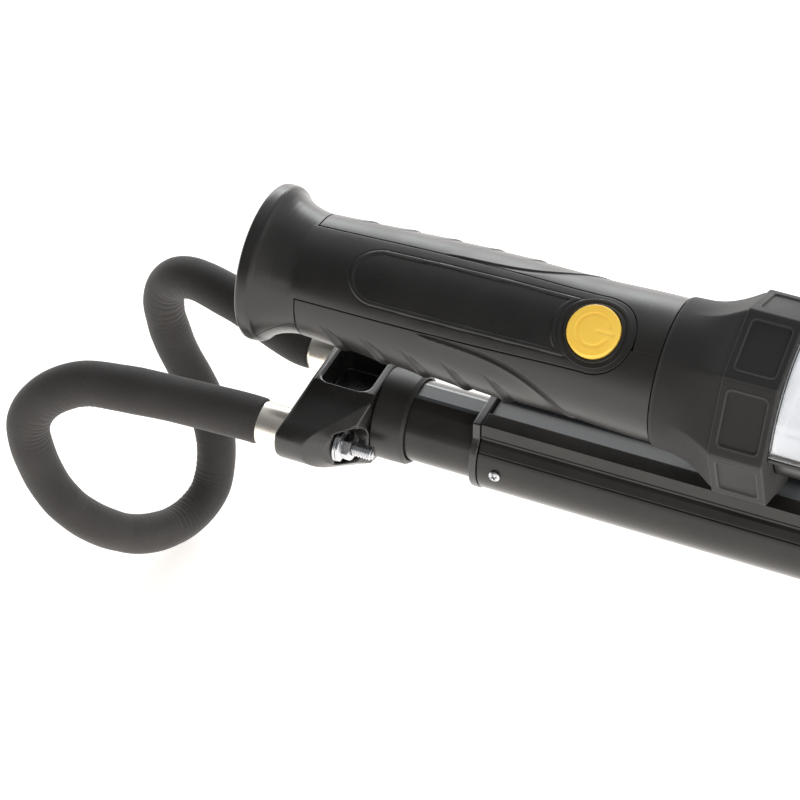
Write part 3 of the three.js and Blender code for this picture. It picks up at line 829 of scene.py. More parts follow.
def threaded_rod(x0, x1, start, radius):
    """Stud with a plain shank up to where its thread starts."""
    xs = np.concatenate([[x0, x0 + 0.01], np.arange(start, x1 - 0.005, 0.08), [x1]])
    x, turn = np.meshgrid(xs, full_turn(48), indexing="ij")
    rows, columns = x.shape
    faces = grid_faces(rows, columns, wrap_columns=True)
    faces += [list(range(columns))[::-1], list(range((rows - 1) * columns, rows * columns))]
    return spun(x, thread(x, turn, start, x1, radius), turn), faces


def flange_nut(x0):
    """Hexagon flange nut: rounded corners, chamfered top, skirt at its seat."""
    xs = np.array([0, 0.05, 0.75, 0.95, 1.2, 1.5, 2.2, 3.4, 4.0, 4.35, 4.6])
    x, turn = np.meshgrid(xs, full_turn(144), indexing="ij")
    wedge = (turn % (np.pi / 3)) - np.pi / 6
    hexagon = np.minimum(NUT_APOTHEM / np.cos(wedge), NUT_CORNER)
    skirt = np.interp(x, [0, 0.05, 0.75, 0.95, 1.2, 1.5], [5.55, 5.7, 5.7, 5.45, 4.7, 3.9])
    top = np.interp(x, [0, 3.9, 4.6], [9, 4.62, 4.05])
    r = np.maximum(np.minimum(hexagon, top), skirt * (x < 1.55))
    return double_wall(spun(x + x0, r, turn), spun(x + x0, NUT_BORE, turn), *x.shape)


def build_fixings(end, place_name, sign):
    """A ferrule, stud, washer and nut in one ear of the bracket."""
    shift = np.array([0, sign * EAR_Y, EAR_Z])
    left, right = BRACKET_LEFT - 9.0, BRACKET_LEFT + 1.6     # sunk in the leaning face
    bottom, wall = right - 2.4, 4.3
    ferrule = [(left, wall), (left, 7.3), (left + 0.9, 7.55), (right, 7.5), (right, 2.8),
               (bottom, 2.8), (bottom, wall)]
    x0 = NUT_SEAT + FIT
    washer = [(x0, 2.7), (x0, 5.9), (x0 + 1, 5.9), (x0 + 1, 2.7)]
    stud = threaded_rod(BRACKET_LEFT - 2.6, BOLT_END, NUT_SEAT - 1, STUD_RADIUS)
    for name, (points, faces), material, node, sharp in (
            ("crimp_ferrule", revolve(ferrule, 96, 0.25), NICKEL, "ferrule", 30),
            ("threaded_stud", stud, ZINC, "hook_bolt", 50),
            ("plain_washer", revolve(washer, 72, 0.18), ZINC, "washer", 30),
            ("hex_flange_nut", flange_nut(x0 + 1.1), ZINC, "flange_nut", 28)):
        end.add(f"{place_name}_{name}", (points + shift, faces), material,
                f"{place_name}_{node}", sharp, end.arm)


def build_telescopic_end(end, bracket):
    """Tube, collar and bracket, with the fixings in the bracket's two ears."""
    tube = extrude(keyed_circle(TUBE_RADIUS, TUBE_FLAT), BRACKET_RIGHT + FIT,
                   high("left_inner_tube")[0] - LEFT_END, [arc(0, 0, TUBE_BORE, 0, 357, 119)], 0.2)
    x0, inner = BRACKET_RIGHT + FIT / 2, TUBE_RADIUS + FIT
    collar = [(x0, inner), (x0, 16.3), (x0 + 6, 16.35), (COLLAR_RIGHT - 1.2, 16.2),
              (COLLAR_RIGHT, 15.4), (COLLAR_RIGHT, inner)]
    end.add("telescopic_tube", tube, ANODISED, "inner_tube", 8, end.arm)
    end.add("clamp_collar", revolve(collar, 120, 0.55), COLLAR, "collar", 35, end.arm)
    end.add("hook_bracket", bracket, GLOSS, "bracket", 60, end.arm)
    for place_name, sign in end.rows():
        build_fixings(end, place_name, sign)


# ------------------------------------------------------------------ hooks

HOOK_POINTS = np.array([
    (-79, -22.2, -0.4), (-102, -27, 3), (-124, -32, 5.5), (-138, -35, 5), (-152, -37.5, -4),
    (-159.5, -38.5, -18), (-157, -38, -37), (-150, -35, -55), (-141.5, -27, -70),
    (-132, -12, -84), (-125, 8, -91), (-121, 22, -86), (-121.5, 30, -72), (-127, 34.5, -56),
    (-141, 37.5, -31), (-144.5, 37.5, -14), (-140.5, 36, -2), (-129.5, 32.5, 6),
    (-109, 27, 6.7), (-88, 23.3, 1.5), (-79, 22.2, -0.6)], float)
FOAM_ROOT = BRACKET_LEFT - 8.7
FOAM_BORE = 4.2


def catmull_rom(points, per_span):
    """Centripetal Catmull-Rom curve through the points."""
    first, last = 2 * points[0] - points[1], 2 * points[-1] - points[-2]
    padded = np.concatenate([[first], points, [last]])
    out = []
    for i in range(1, len(padded) - 2):
        p0, p1, p2, p3 = padded[i - 1:i + 3]
        d0, d1, d2 = np.sqrt(np.linalg.norm([p1 - p0, p2 - p1, p3 - p2], axis=1))
        m1 = (p1 - p0) / d0 - (p2 - p0) / (d0 + d1) + (p2 - p1) / d1
        m2 = (p2 - p1) / d1 - (p3 - p1) / (d1 + d2) + (p3 - p2) / d2
        m1, m2 = m1 * d1, m2 * d1
        t = np.linspace(0, 1, per_span, endpoint=False)[:, None]
        out.append((2 * t**3 - 3 * t**2 + 1) * p1 + (t**3 - 2 * t**2 + t) * m1
                   + (-2 * t**3 + 3 * t**2) * p2 + (t**3 - t**2) * m2)
    return np.concatenate(out + [points[-1:]])


def resample(path, count):
    length = np.concatenate([[0], np.cumsum(np.linalg.norm(np.diff(path, axis=0), axis=1))])
    at = np.linspace(0, length[-1], count)
    return np.stack([np.interp(at, length, path[:, k]) for k in range(3)], 1), at


def frames_along(path):
    """Tangent and two side directions that don't twist."""
    tangent = unit(np.gradient(path, axis=0))
    side = np.zeros_like(path)
    side[0] = unit(np.cross(tangent[0], [0, 0, 1.0]))
    for i in range(1, len(path)):
        side[i] = unit(side[i - 1] - tangent[i] * (side[i - 1] @ tangent[i]))
    return tangent, side, np.cross(tangent, side)


def foam_tube(seed):
    """Foam sleeve on the bent gooseneck: fatter on its straight arms, necked at the bends,
    where its inner side creases crosswise."""
    rng = np.random.default_rng(seed)
    ends = [np.array([FOAM_ROOT, s * EAR_Y, EAR_Z]) for s in (-1, 1)]
    control = np.concatenate([[ends[0]], HOOK_POINTS, [ends[1]]])
    count, around = fine_or_quick(900), fine_or_quick(72)
    path, at = resample(catmull_rom(control, 40), count)
    tangent, side, up = frames_along(path)
    bend = np.gradient(tangent, axis=0) / np.gradient(at)[:, None]
    kernel = np.hanning(41)
    kernel /= kernel.sum()
    bend = np.stack([np.convolve(bend[:, k], kernel, "same") for k in range(3)], 1)
    curvature = np.linalg.norm(bend, axis=1)
    inward = bend / np.maximum(curvature, 1e-6)[:, None]
    t = full_turn(around)
    spoke = side[:, None] * np.cos(t)[None, :, None] + up[:, None] * np.sin(t)[None, :, None]
    inner = np.einsum("ijk,ik->ij", spoke, inward)
    total = at[-1]
    share = at / total
    radius = 8.25 - 0.75 * smoothstep(0.08, 0.45, share) + 0.45 * smoothstep(0.62, 0.98, share)
    radius = radius - 4.0 * np.clip(curvature, 0, 0.06)
    slow = np.interp(at, np.linspace(0, total, 60), rng.normal(0, 0.09, 60))
    radius = (radius + slow)[:, None] * np.ones_like(inner)
    phase = np.cumsum(np.interp(at, np.linspace(0, total, 160), rng.uniform(1.2, 3.4, 160))) \
        * (at[1] - at[0])
    sway = np.interp(at, np.linspace(0, total, 90), rng.uniform(-1.6, 1.6, 90))
    crease = (0.5 + 0.5 * np.sin(phase[:, None] + sway[:, None] * inner)) ** 2
    load = smoothstep(0.010, 0.034, curvature)[:, None]
    radius -= 0.2 * load * crease * smoothstep(-0.15, 0.95, inner)
    radius += 0.10 * load * smoothstep(0.2, 0.9, inner)
    radius -= 0.03 * (0.5 + 0.5 * np.sin(phase * 2.3))[:, None] * smoothstep(-0.9, 0.6, inner)
    lobes = rng.uniform(0, 2 * np.pi, 5)
    for n, shift in enumerate(lobes):
        radius += 0.035 * np.sin((n + 1) * t[None] + shift + at[:, None] * (0.05 + 0.04 * n))
    for edge in (at, total - at):
        radius -= 0.5 * (1 - smoothstep(0, 0.9, edge))[:, None] ** 2
    outer = (path[:, None] + spoke * radius[..., None]).reshape(-1, 3)
    bore = (path[:, None] + spoke * FOAM_BORE).reshape(-1, 3)
    return double_wall(outer, bore, count, around)


def build_hook(end, seed):
    """Foam sleeve round the hook's gooseneck."""
    foam = end.add("foam_sleeve", foam_tube(seed), FOAM, "hook_foam", 60)
    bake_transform(foam)


# ------------------------------------------------------------------ lamp handle

HANDLE_X = np.array([-63.6, -52, -40, -28, -15, -3, 8, 20, 30, 38, 46, 55, 64.4])
HANDLE_R = np.array([21.05, 21.55, 22.15, 22.75, 23.2, 23.5, 23.6, 23.45, 23.3, 23.4, 23.8,
                     24.2, 24.35])
SEAM = 0.14                      # half the gap along a moulding seam
HAIRLINE = 0.05                  # half the gap where the grip's halves meet
SEAM_ROUND = 0.3                 # width of the rounding beside a seam
SHELL_END = BUMPER_X - 0.25
BUTTON_X = (low("power_button")[0] + high("power_button")[0]) / 2 - LEFT_END
BUTTON_ANGLE = -0.4
BUTTON_RADIUS = 8.9
PANEL_END_RADIUS = 14.0
BEZEL_RADIUS = 12.2
WELL_DEPTH = 3.6                 # below the handle's crown, clear of the pressed button
GRIP_X0 = -61.8
WALL = 1.6                       # thickness of the handle's shells
MEAN_RADIUS = 23.3
PANEL_RADIUS = 23.5              # of the handle at the panel's round end
PANEL_MIDDLE = -3.5              # angle the grip's pattern is centred on
GRIPS_MEET = -8.0                # angle of the grips' hairline on the front


def handle_radius(x):
    return np.interp(x, FINE_X, FINE_R)


FINE_X = np.linspace(HANDLE_X[0], HANDLE_X[-1], 400)
FINE_R = np.convolve(np.pad(np.interp(FINE_X, HANDLE_X, HANDLE_R), 25, mode="edge"),
                     np.hanning(51) / np.hanning(51).sum(), "valid")


def flange_radius(x):
    """Rim, crease and concave flare of the end flange."""
    xs = [FLANGE_X, FLANGE_X + 0.25, FLANGE_X + 0.8, FLANGE_X + 1.6, -76.9, -76.1, -75.7,
          -75.2, -74, -72.5, -70.5, -68.5, -66.5, -64.8, -63.2, GRIP_X0]
    rs = [26.0, 26.6, 27.1, 27.3, 27.15, 26.7, 26.1,
          25.55, 24.6, 23.65, 22.7, 22.05, 21.55, 21.25, 21.08, 21.1]
    return np.interp(x, xs, rs)


def to_mm(angle):
    return np.radians(angle) * MEAN_RADIUS


def to_deg(length, radius=MEAN_RADIUS):
    return np.degrees(length / radius)


def panel_edges(x):
    """Lower and upper edge of the smooth front panel, in degrees; round at the button end."""
    reach = np.clip((x - BUTTON_X) / PANEL_END_RADIUS, 0, 1)
    end = to_deg(PANEL_END_RADIUS * np.sqrt(1 - reach**2), PANEL_RADIUS)
    lower = -42.6 + 0.082 * (np.minimum(x, BUTTON_X) + 61)
    upper = np.full_like(x, 33.6)
    return (np.where(x > BUTTON_X, BUTTON_ANGLE - end, lower),
            np.where(x > BUTTON_X, BUTTON_ANGLE + end, upper))


def edge_samples(width, count):
    """Fractions across a strip of the given widths, closer together by its two edges."""
    near = np.array([0, 0.04, 0.1, 0.2, 0.34, 0.5]) * SEAM_ROUND * 2
    inner = np.linspace(0, 1, count)[None]
    width = np.maximum(width, 1e-6)[:, None]
    margin = np.minimum(near[None] / width, 0.5 * near[None] / near[-1])
    last = margin[:, -1:]
    middle = last + (1 - 2 * last) * inner[:, 1:-1]
    return np.concatenate([margin, middle, 1 - margin[:, ::-1]], 1)


def strip(xs, start, stop, count):
    """Lamp places between two edges, given in degrees, and how far each is from an edge."""
    width = to_mm(np.abs(stop - start))
    across = edge_samples(width, count)
    x = np.repeat(xs[:, None], across.shape[1], 1)
    angle = start[:, None] + (stop - start)[:, None] * across
    return x, angle, np.minimum(across, 1 - across) * width[:, None]


def edge_drop(distance, size):
    """How far a rounded edge falls away at a distance from the seam."""
    d = np.clip(distance, 0, size)
    return size - np.sqrt(np.maximum(size**2 - (size - d) ** 2, 0))


def panel_relief(x, angle):
    """Long recess inside a double line, stopped by a curve round the button."""
    s = to_mm(angle - BUTTON_ANGLE)
    lean = np.clip((BUTTON_X - x) / 80, 0, 1) * 1.2
    half, start = 10.3, -44.4 + 10.3
    along = np.clip(x, start, BUTTON_X)
    stadium = np.hypot(x - along, s + lean) - half
    button = np.hypot(x - BUTTON_X, s)
    region = smooth_max(stadium, BEZEL_RADIUS + 0.5 - button, 1.0)
    bead = 0.2 * smoothstep(-0.2, 0.25, -region) * (1 - smoothstep(1.2, 1.65, -region))
    dish = 0.3 * smoothstep(1.2, 1.65, -region)
    groove = 0.16 * np.exp(-((region - 0.2) / 0.26) ** 2)
    seat = 1.6 * (1 - smoothstep(BEZEL_RADIUS - 1.1, BEZEL_RADIUS - 0.6, button))
    floor = handle_radius(BUTTON_X) - WELL_DEPTH
    level = handle_radius(x) - floor / np.cos(np.radians(angle - BUTTON_ANGLE))
    inside = 1 - smoothstep(BUTTON_RADIUS + 1.2, BUTTON_RADIUS + 1.6, button)
    return bead - dish - groove - np.maximum(seat, level * inside)


def scallops(x, angle):
    """Finger ridges of a grip and the leaf-shaped crease that runs in among them.

    Each ridge starts as a fine line beside the panel, swings back and deepens as it goes
    round; its crest has a hollow on one side and a gentle swell on the other."""
    d = np.abs(angle - PANEL_MIDDLE) - 55.5
    grow = smoothstep(0, 26, d) * (1 - smoothstep(62, 92, d)) * np.where(angle > 0, 0.45, 1.0)
    curve = 9.0 * (1 - np.exp(-np.maximum(d, 0) / 15))
    height = np.zeros_like(x)
    for line in -55.0 + 15.0 * np.arange(5):
        u = x - (line + curve)
        swell = np.where(u <= 0, np.exp(u / 3.2), 0)
        crest = np.where(u > 0, 1 - smoothstep(0, 0.6, u), 0)
        hollow = np.exp(-((u - 1.6) / 1.0) ** 2) + 0.5 * smoothstep(0.6, 2, u) * np.exp(-u / 4)
        height += grow * (0.85 * (swell + crest) - 0.85 * hollow)
    start, end = -18.0, 36.5
    share = np.clip((x - start) / (end - start), 0, 1)
    leaf = 38.5 + 4 * share + 46 * share ** 4.2
    away = to_mm(np.abs(angle - PANEL_MIDDLE) - leaf)
    inside = smoothstep(start, start + 8, x) * (1 - smoothstep(end, end + 2, x))
    crest = np.where(away > 0, np.exp(-away / 2.6), 1 - smoothstep(0, 0.7, -away))
    hollow = np.exp(-((away + 1.0) / 0.6) ** 2)
    side = np.where(angle > 0, 0.5, 1.0)
    height += (0.62 * crest - 0.3 * hollow) * inside * side * (1 - smoothstep(48, 70, d))
    return height


def build_flange():
    """The flange's front and rear halves, each with its own edge along the parting line."""
    xs = np.concatenate([np.linspace(FLANGE_X, -79.5, 10), np.linspace(-79, -75, 26),
                         np.linspace(-74.7, GRIP_X0 - SEAM, 34)])
    bow = 15 * smoothstep(-76, -62, xs)
    for name, centre, half, nodes in (("handle_front_flange", 0, 90 - bow, []),
                                      ("handle_rear_flange", 180, 90 + bow, ["handle_rear_shell"])):
        half = half - to_deg(SEAM, 24)
        x, angle, distance = strip(xs, centre - half, centre + half, 150)
        outer = flange_radius(x) - edge_drop(distance, 0.25)
        inner = np.minimum(outer - 0.8, np.where(x < -77.4, 21.9, 19.0))
        mesh_object(name, slab(x, angle, outer, inner), SATIN, "lamp", nodes, 42)


def build_panel():
    """Front panel with its long recess and the button's well."""
    end_radius = PANEL_END_RADIUS - SEAM
    turn = np.radians(np.linspace(0, 90, 46))
    xs = np.concatenate([np.arange(GRIP_X0 - 3, BUTTON_X, fine_or_quick(0.28)),
                         BUTTON_X + end_radius * np.sin(turn)])
    lower, upper = panel_edges(xs)
    lower, upper = lower + to_deg(SEAM), upper - to_deg(SEAM)
    lower[-1] = upper[-1] = BUTTON_ANGLE
    x, angle, distance = strip(xs, lower, upper, fine_or_quick(120))
    distance = np.minimum(distance, BUTTON_X + end_radius - x)
    base = np.where(x < HANDLE_X[0], flange_radius(x), handle_radius(x))
    outer = base + panel_relief(x, angle) - edge_drop(distance, 0.25)
    inner = np.minimum(outer - 0.6, base - WALL)
    mesh_object("handle_front_panel", slab(x, angle, outer, inner), SATIN, "lamp",
                ["handle_front_shell"], 42)


def build_grips():
    """The two soft-touch halves that wrap the handle and meet behind the panel's round end."""
    end_radius = PANEL_END_RADIUS + SEAM
    end = BUTTON_X + end_radius
    turn = np.radians(np.linspace(0, 90, 40))
    xs = np.concatenate([np.arange(GRIP_X0 + SEAM, BUTTON_X, fine_or_quick(0.3)),
                         BUTTON_X + end_radius * np.sin(turn),
                         np.arange(end + 0.3, SHELL_END - 0.1, 0.4), [SHELL_END]])
    reach = np.clip((xs - BUTTON_X) / end_radius, 0, 1)
    cap = to_deg(end_radius * np.sqrt(1 - reach**2), PANEL_RADIUS)
    gap, close = to_deg(SEAM), to_deg(HAIRLINE)
    lower, upper = panel_edges(xs)
    for name, side, panel_edge in (("upper", 1, upper), ("lower", -1, lower)):
        meet = GRIPS_MEET + side * close
        round_end = side * np.maximum(side * (BUTTON_ANGLE + side * cap), side * meet)
        start = np.where(xs > BUTTON_X, round_end, panel_edge + side * gap)
        start = np.where(xs > end, meet, start)
        stop = PANEL_MIDDLE + side * (180 - gap / 2)
        x, angle, distance = strip(xs, start, stop, fine_or_quick(250))
        distance = np.minimum(distance, np.minimum(x - GRIP_X0 - SEAM, SHELL_END - x))
        outer = handle_radius(x) + scallops(x, angle) - edge_drop(distance, 0.22)
        inner = np.minimum(outer - 0.6, handle_radius(x) - WALL)
        mesh_object(f"grip_{name}_half", slab(x, angle, outer, inner), GRIP, "lamp",
                    [f"grip_{name}"], 42)


def build_bezel():
    """Ring round the button: a step down to a groove, then a lip beside the button."""
    hole = BUTTON_RADIUS + 0.25
    radii = np.array([hole, hole + 0.05, hole + 0.2, 9.9, 10.15, 10.3, 10.5, 10.7, 10.85, 11.1,
                      11.5, 11.9, 12.05, 12.15, BEZEL_RADIUS])
    heights = np.array([-1.4, -0.35, -0.2, -0.16, -0.2, -0.42, -0.5, -0.42, -0.2, -0.08,
                        0.0, 0.08, 0.05, -0.05, -0.5])
    rings = np.append(np.arange(radii[0], radii[-1], 0.05), radii[-1])
    r, t = np.meshgrid(rings, full_turn(200), indexing="ij")
    x = BUTTON_X + r * np.cos(t)
    top = handle_radius(x) + np.interp(r, radii, heights)
    under = handle_radius(x) - 1.9
    upright, under_angle = [np.degrees(np.arcsin(r * np.sin(t) / at)) for at in (top, under)]
    angle = upright + smoothstep(9.4, 10.4, r) * (to_deg(r * np.sin(t)) - upright)
    ring = double_wall(on_lamp(x, BUTTON_ANGLE + angle, top),
                       on_lamp(x, BUTTON_ANGLE + under_angle, under), *x.shape)
    mesh_object("button_bezel_ring", ring, SATIN, "lamp", [], 50)


def build_button():
    """Domed amber button with a plain ring-and-bar mark in low relief."""
    edge = 0.7
    brink = BUTTON_RADIUS - edge * (1 - np.sin(np.radians(np.linspace(10, 90, 9))))
    rings = np.concatenate([np.linspace(0, BUTTON_RADIUS - edge, 90), brink])
    r, t = np.meshgrid(rings, full_turn(180), indexing="ij")
    top = handle_radius(BUTTON_X) + 0.9
    over = np.maximum(0, r - BUTTON_RADIUS + edge) / edge
    crown = top - 0.5 * (r / BUTTON_RADIUS) ** 2 - edge * (1 - np.sqrt(np.maximum(0, 1 - over**2)))
    u, v = r * np.cos(t), r * np.sin(t)
    opening = np.maximum(np.abs(v) - 1.9, -u)
    ring = np.maximum(np.abs(r - 5.4) - 0.55, -opening)
    bar = np.maximum(np.abs(v) - 0.5, np.abs(u - 4.0) - 3.0)
    crown -= 0.22 * (1 - smoothstep(-0.18, 0.18, np.minimum(ring, bar)))
    rows, columns = r.shape
    x, y, z = [np.concatenate([a.ravel(), a[-1]]) for a in (u, v, crown)]
    z[-columns:] = top - 3.0                              # the skirt's lower edge
    faces = grid_faces(rows + 1, columns, wrap_columns=True)
    faces.append(list(range(rows * columns, len(x))))
    points = place(BUTTON_X + LEFT_END + x, y, z, LAMP_TURN - math.radians(BUTTON_ANGLE),
                   LAMP_AXIS_Z)
    mesh_object("amber_push_button", (points, faces), YELLOW, "button", ["power_button"])


def build_handle_end():
    """Dished disc that closes the flange, with the charging socket in its middle."""
    x0 = FLANGE_X + 0.8
    disc = [(x0 + 3, 4.2), (x0 + 1.4, 4.2), (x0 + 0.6, 5.4), (x0 + 1.2, 7.0), (x0 + 1.2, 18.6),
            (x0, 20.4), (x0, 21.4), (x0 + 3, 21.4)]
    add_on_lamp("flange_end_disc", revolve(disc, 120, 0.4), SATIN, "handle_end_cap")
    centre = 0.001
    socket = [(x0 + 0.9, 3.9), (x0 + 0.9, 3.0), (x0 + 8, 3.0), (x0 + 8, 1.1), (x0 + 1.6, 1.1),
              (x0 + 1.2, 0.8), (x0 + 1.2, centre), (x0 + 10, centre), (x0 + 10, 3.9)]
    add_on_lamp("barrel_charge_socket", revolve(socket, 64, 0.12), NICKEL, "charge_socket")


# ------------------------------------------------------------------ lamp head

RING_RADIUS = 34.0
RING_APOTHEM = RING_RADIUS * math.cos(math.pi / 8)
HEAD_RADIUS = 22.8
SOCKET_RADIUS = HEAD_RADIUS + 0.1          # inside the bumpers
LENS_RADIUS = 30.0
LENS_HALF = 53.5                 # degrees from its middle to its edge
LENS_WALL, END_WALL = 1.8, 0.8
CORNER_ANGLE = math.degrees(LAMP_TURN) - 180       # a corner that points at the rail


def facet_turn(angle):
    """Radians from the middle of the octagon's facet that an angle falls on."""
    return np.radians((angle - CORNER_ANGLE) % 45) - math.pi / 8


def octagon_radius(angle):
    """Radius of the ring's octagon with softened corners."""
    flat = RING_APOTHEM / np.cos(facet_turn(angle))
    return smooth_min(flat, np.full_like(flat, RING_RADIUS - 0.05), 0.56)


def facet_recess(x, angle, x0, x1):
    """Shallow rounded rectangle sunk in each facet of the ring."""
    s = RING_APOTHEM * np.tan(facet_turn(angle))
    margin, half_width, corner = 2.6, 9.4, 1.6
    box = rounded_rectangle(x - (x0 + x1) / 2, s, (x1 - x0) / 2 - margin, half_width, corner)
    lip = 0.12 * np.exp(-((box - 0.25) / 0.3) ** 2)
    return 0.6 * smoothstep(0, 0.4, -box) - lip


def build_near_bumper():
    """Rubber boot: a lip, a flare that turns from round to octagonal, and the ring."""
    xs = np.concatenate([BUMPER_X + np.array([0, 0.1, 0.25, 0.5, 0.8, 1.2]),
                         np.arange(BUMPER_X + 1.6, RING_X - 0.9, 0.7),
                         RING_X + np.array([-0.7, -0.4, -0.15, -0.02, 0, 0.04, 0.12, 0.22, 0.35,
                                            0.6]),
                         np.arange(RING_X + 0.9, RING_END_X - 1, fine_or_quick(0.35)),
                         RING_END_X - np.array([0.9, 0.7, 0.5, 0.3, 0.15, 0.05, 0])])
    x, angle = np.meshgrid(xs, np.arange(0, 360, 0.5), indexing="ij")
    octagon = octagon_radius(angle)
    knots = BUMPER_X + np.array([0, 0.25, 0.8, 1.8, 4, 7, 10, 13, 16, 19, 21, RING_X - BUMPER_X])
    flare_r = np.interp(x, knots, [24.45, 24.95, 25.2, 25.3, 25.4, 25.75, 26.5, 27.65, 29.2,
                                   31.1, 32.5, 33.4])
    flare = flare_r + smoothstep(BUMPER_X + 3, RING_X, x) * (octagon - 0.9 - 33.4)
    ring = octagon - facet_recess(x, angle, RING_X, RING_END_X)
    ring -= edge_drop(x - RING_X, 0.35) + edge_drop(RING_END_X - x, 0.7)
    outer = np.where(x < RING_X, flare, ring)
    boot = double_wall(on_lamp(x, angle, outer), on_lamp(x, angle, SOCKET_RADIUS), *x.shape)
    mesh_object("near_bumper_boot", boot, RUBBER, "lamp", ["bumper_near"], 50)


def build_end_bumper():
    """Closed rubber boot on the lamp's far end."""
    taper = LAMP_END_X - FAR_RING_END_X
    xs = np.concatenate([FAR_RING_X + np.array([0, 0.05, 0.15, 0.3, 0.5, 0.7]),
                         np.arange(FAR_RING_X + 1, FAR_RING_END_X - 1, fine_or_quick(0.5)),
                         FAR_RING_END_X + np.array([-0.7, -0.4, -0.15, 0, 0.3]),
                         FAR_RING_END_X + taper * np.array([0.2, 0.4, 0.55, 0.7, 0.8, 0.88,
                                                            0.94, 0.98, 1])])
    angles = np.arange(0, 360, 0.75)
    x, angle = np.meshgrid(xs, angles, indexing="ij")
    octagon = octagon_radius(angle)
    ring = octagon - facet_recess(x, angle, FAR_RING_X, FAR_RING_END_X)
    ring -= edge_drop(x - FAR_RING_X, 0.7) + edge_drop(FAR_RING_END_X - x, 0.5)
    share = np.clip((x - FAR_RING_END_X) / taper, 0, 1)
    round_r = 26.2 + 4.6 * (1 - share) - 1.6 * smoothstep(0.82, 1, share) ** 2
    cap = round_r + (octagon - 0.5 - 30.8) * (1 - smoothstep(0, 0.75, share))
    outer = np.where(x > FAR_RING_END_X, cap, ring)
    inside = [(LAMP_END_X - 4, 0.0), (LAMP_END_X - 4, SOCKET_RADIUS), (FAR_RING_X, SOCKET_RADIUS)]
    end_face = [(LAMP_END_X, 22.0), (LAMP_END_X, 20.6), (LAMP_END_X - 0.5, 19.9),
                (LAMP_END_X - 0.5, 0.0)]
    before, after = [[on_lamp(np.full(len(angles), at), angles, radius) for at, radius in rings]
                     for rings in (inside, end_face)]
    points = np.concatenate(before + [on_lamp(x, angle, outer)] + after)
    faces = grid_faces(len(points) // len(angles), len(angles), wrap_columns=True)
    mesh_object("end_bumper_boot", (points, faces), RUBBER, "lamp", ["bumper_end"], 50)


def add_on_lamp(name, piece, material, node, sharp=35):
    """A piece given along and about the lamp's axis, added to the lamp."""
    points, faces = piece
    points = place(points[:, 0] + LEFT_END, points[:, 1], points[:, 2], LAMP_TURN, LAMP_AXIS_Z)
    mesh_object(name, (points, faces), material, "lamp", [node] if node else [], sharp)


def build_head():
    """Back housing, reflector, LED board and clear lens."""
    front = 90 - LENS_HALF
    ledge = 2.4
    outline = np.concatenate([
        arc(0, 0, LENS_RADIUS, 180 - front, 180 - front + ledge, 4),
        arc(0, 0, HEAD_RADIUS, 180 - front + ledge + 1, 360 + front - ledge - 1, 110),
        arc(0, 0, LENS_RADIUS, 360 + front - ledge, 360 + front, 4),
        arc(0, 0, HEAD_RADIUS - 2, 360 + front, 180 - front, 110)])
    x0, x1 = RING_END_X + FIT, FAR_RING_X - FIT
    add_on_lamp("back_housing_trough", extrude(rounded(outline, 0.3, 2), x0, x1, bevel=0.2), SATIN,
                "head_back_housing")
    edge = LENS_HALF - 0.8
    dome = np.concatenate([arc(0, 0, LENS_RADIUS, 90 - edge, 90 + edge, 90),
                           arc(0, 0, LENS_RADIUS - LENS_WALL, 90 + edge, 90 - edge, 90)])
    add_on_lamp("clear_lens_cover", extrude(rounded(dome, 0.3, 2), x0 + 0.1, x1 - 0.1, bevel=0.3),
                LENS, "lens_cover")
    rise = np.array([(-21.5, 18.6), (-13.5, 12.6), (-7, 10.0), (7, 10.0), (13.5, 12.6),
                     (21.5, 18.6)])
    trough = np.concatenate([rise, rise[::-1] - [0, 0.7]])
    plate = np.concatenate([arc(0, 0, LENS_RADIUS - LENS_WALL - FIT, 42, 138, 60), rise + [0, FIT]])
    near, far = RING_END_X + 0.9, FAR_RING_X - 0.9
    add_on_lamp("trough_reflector", extrude(trough, near - 0.1, far + 0.1, bevel=0.05), REFLECTOR,
                "reflector", 20)
    for name, x in (("near", near), ("far", far - END_WALL)):
        add_on_lamp(f"{name}_reflector_wall", extrude(plate, x, x + END_WALL, bevel=0.1),
                    REFLECTOR, None, 20)


def build_leds():
    """A row of phosphor pads on the CAD's board."""
    finish_cad("led_board", BOARD)
    square = rounded([(-1.3, -1.3), (1.3, -1.3), (1.3, 1.3), (-1.3, 1.3)], 0.4, 4)
    count, n = 20, len(square)
    x0, x1 = RING_END_X + 6, FAR_RING_X - 6
    points, faces = [], []
    for i in range(count):
        x = x0 + (i + 0.5) * (x1 - x0) / count
        start = len(points)
        for z, k in ((13.21, 1.0), (13.34, 1.0), (13.42, 0.92)):     # foot, shoulder and top
            points += [(x + a * k, b * k, z) for a, b in square]
        faces += grid_faces(3, n, start, wrap_columns=True)
        faces += [list(range(start + 2 * n, start + 3 * n)), list(range(start, start + n))[::-1]]
    add_on_lamp("led_phosphor_pads", (np.array(points), faces), LED, None)


# ------------------------------------------------------------------ clips


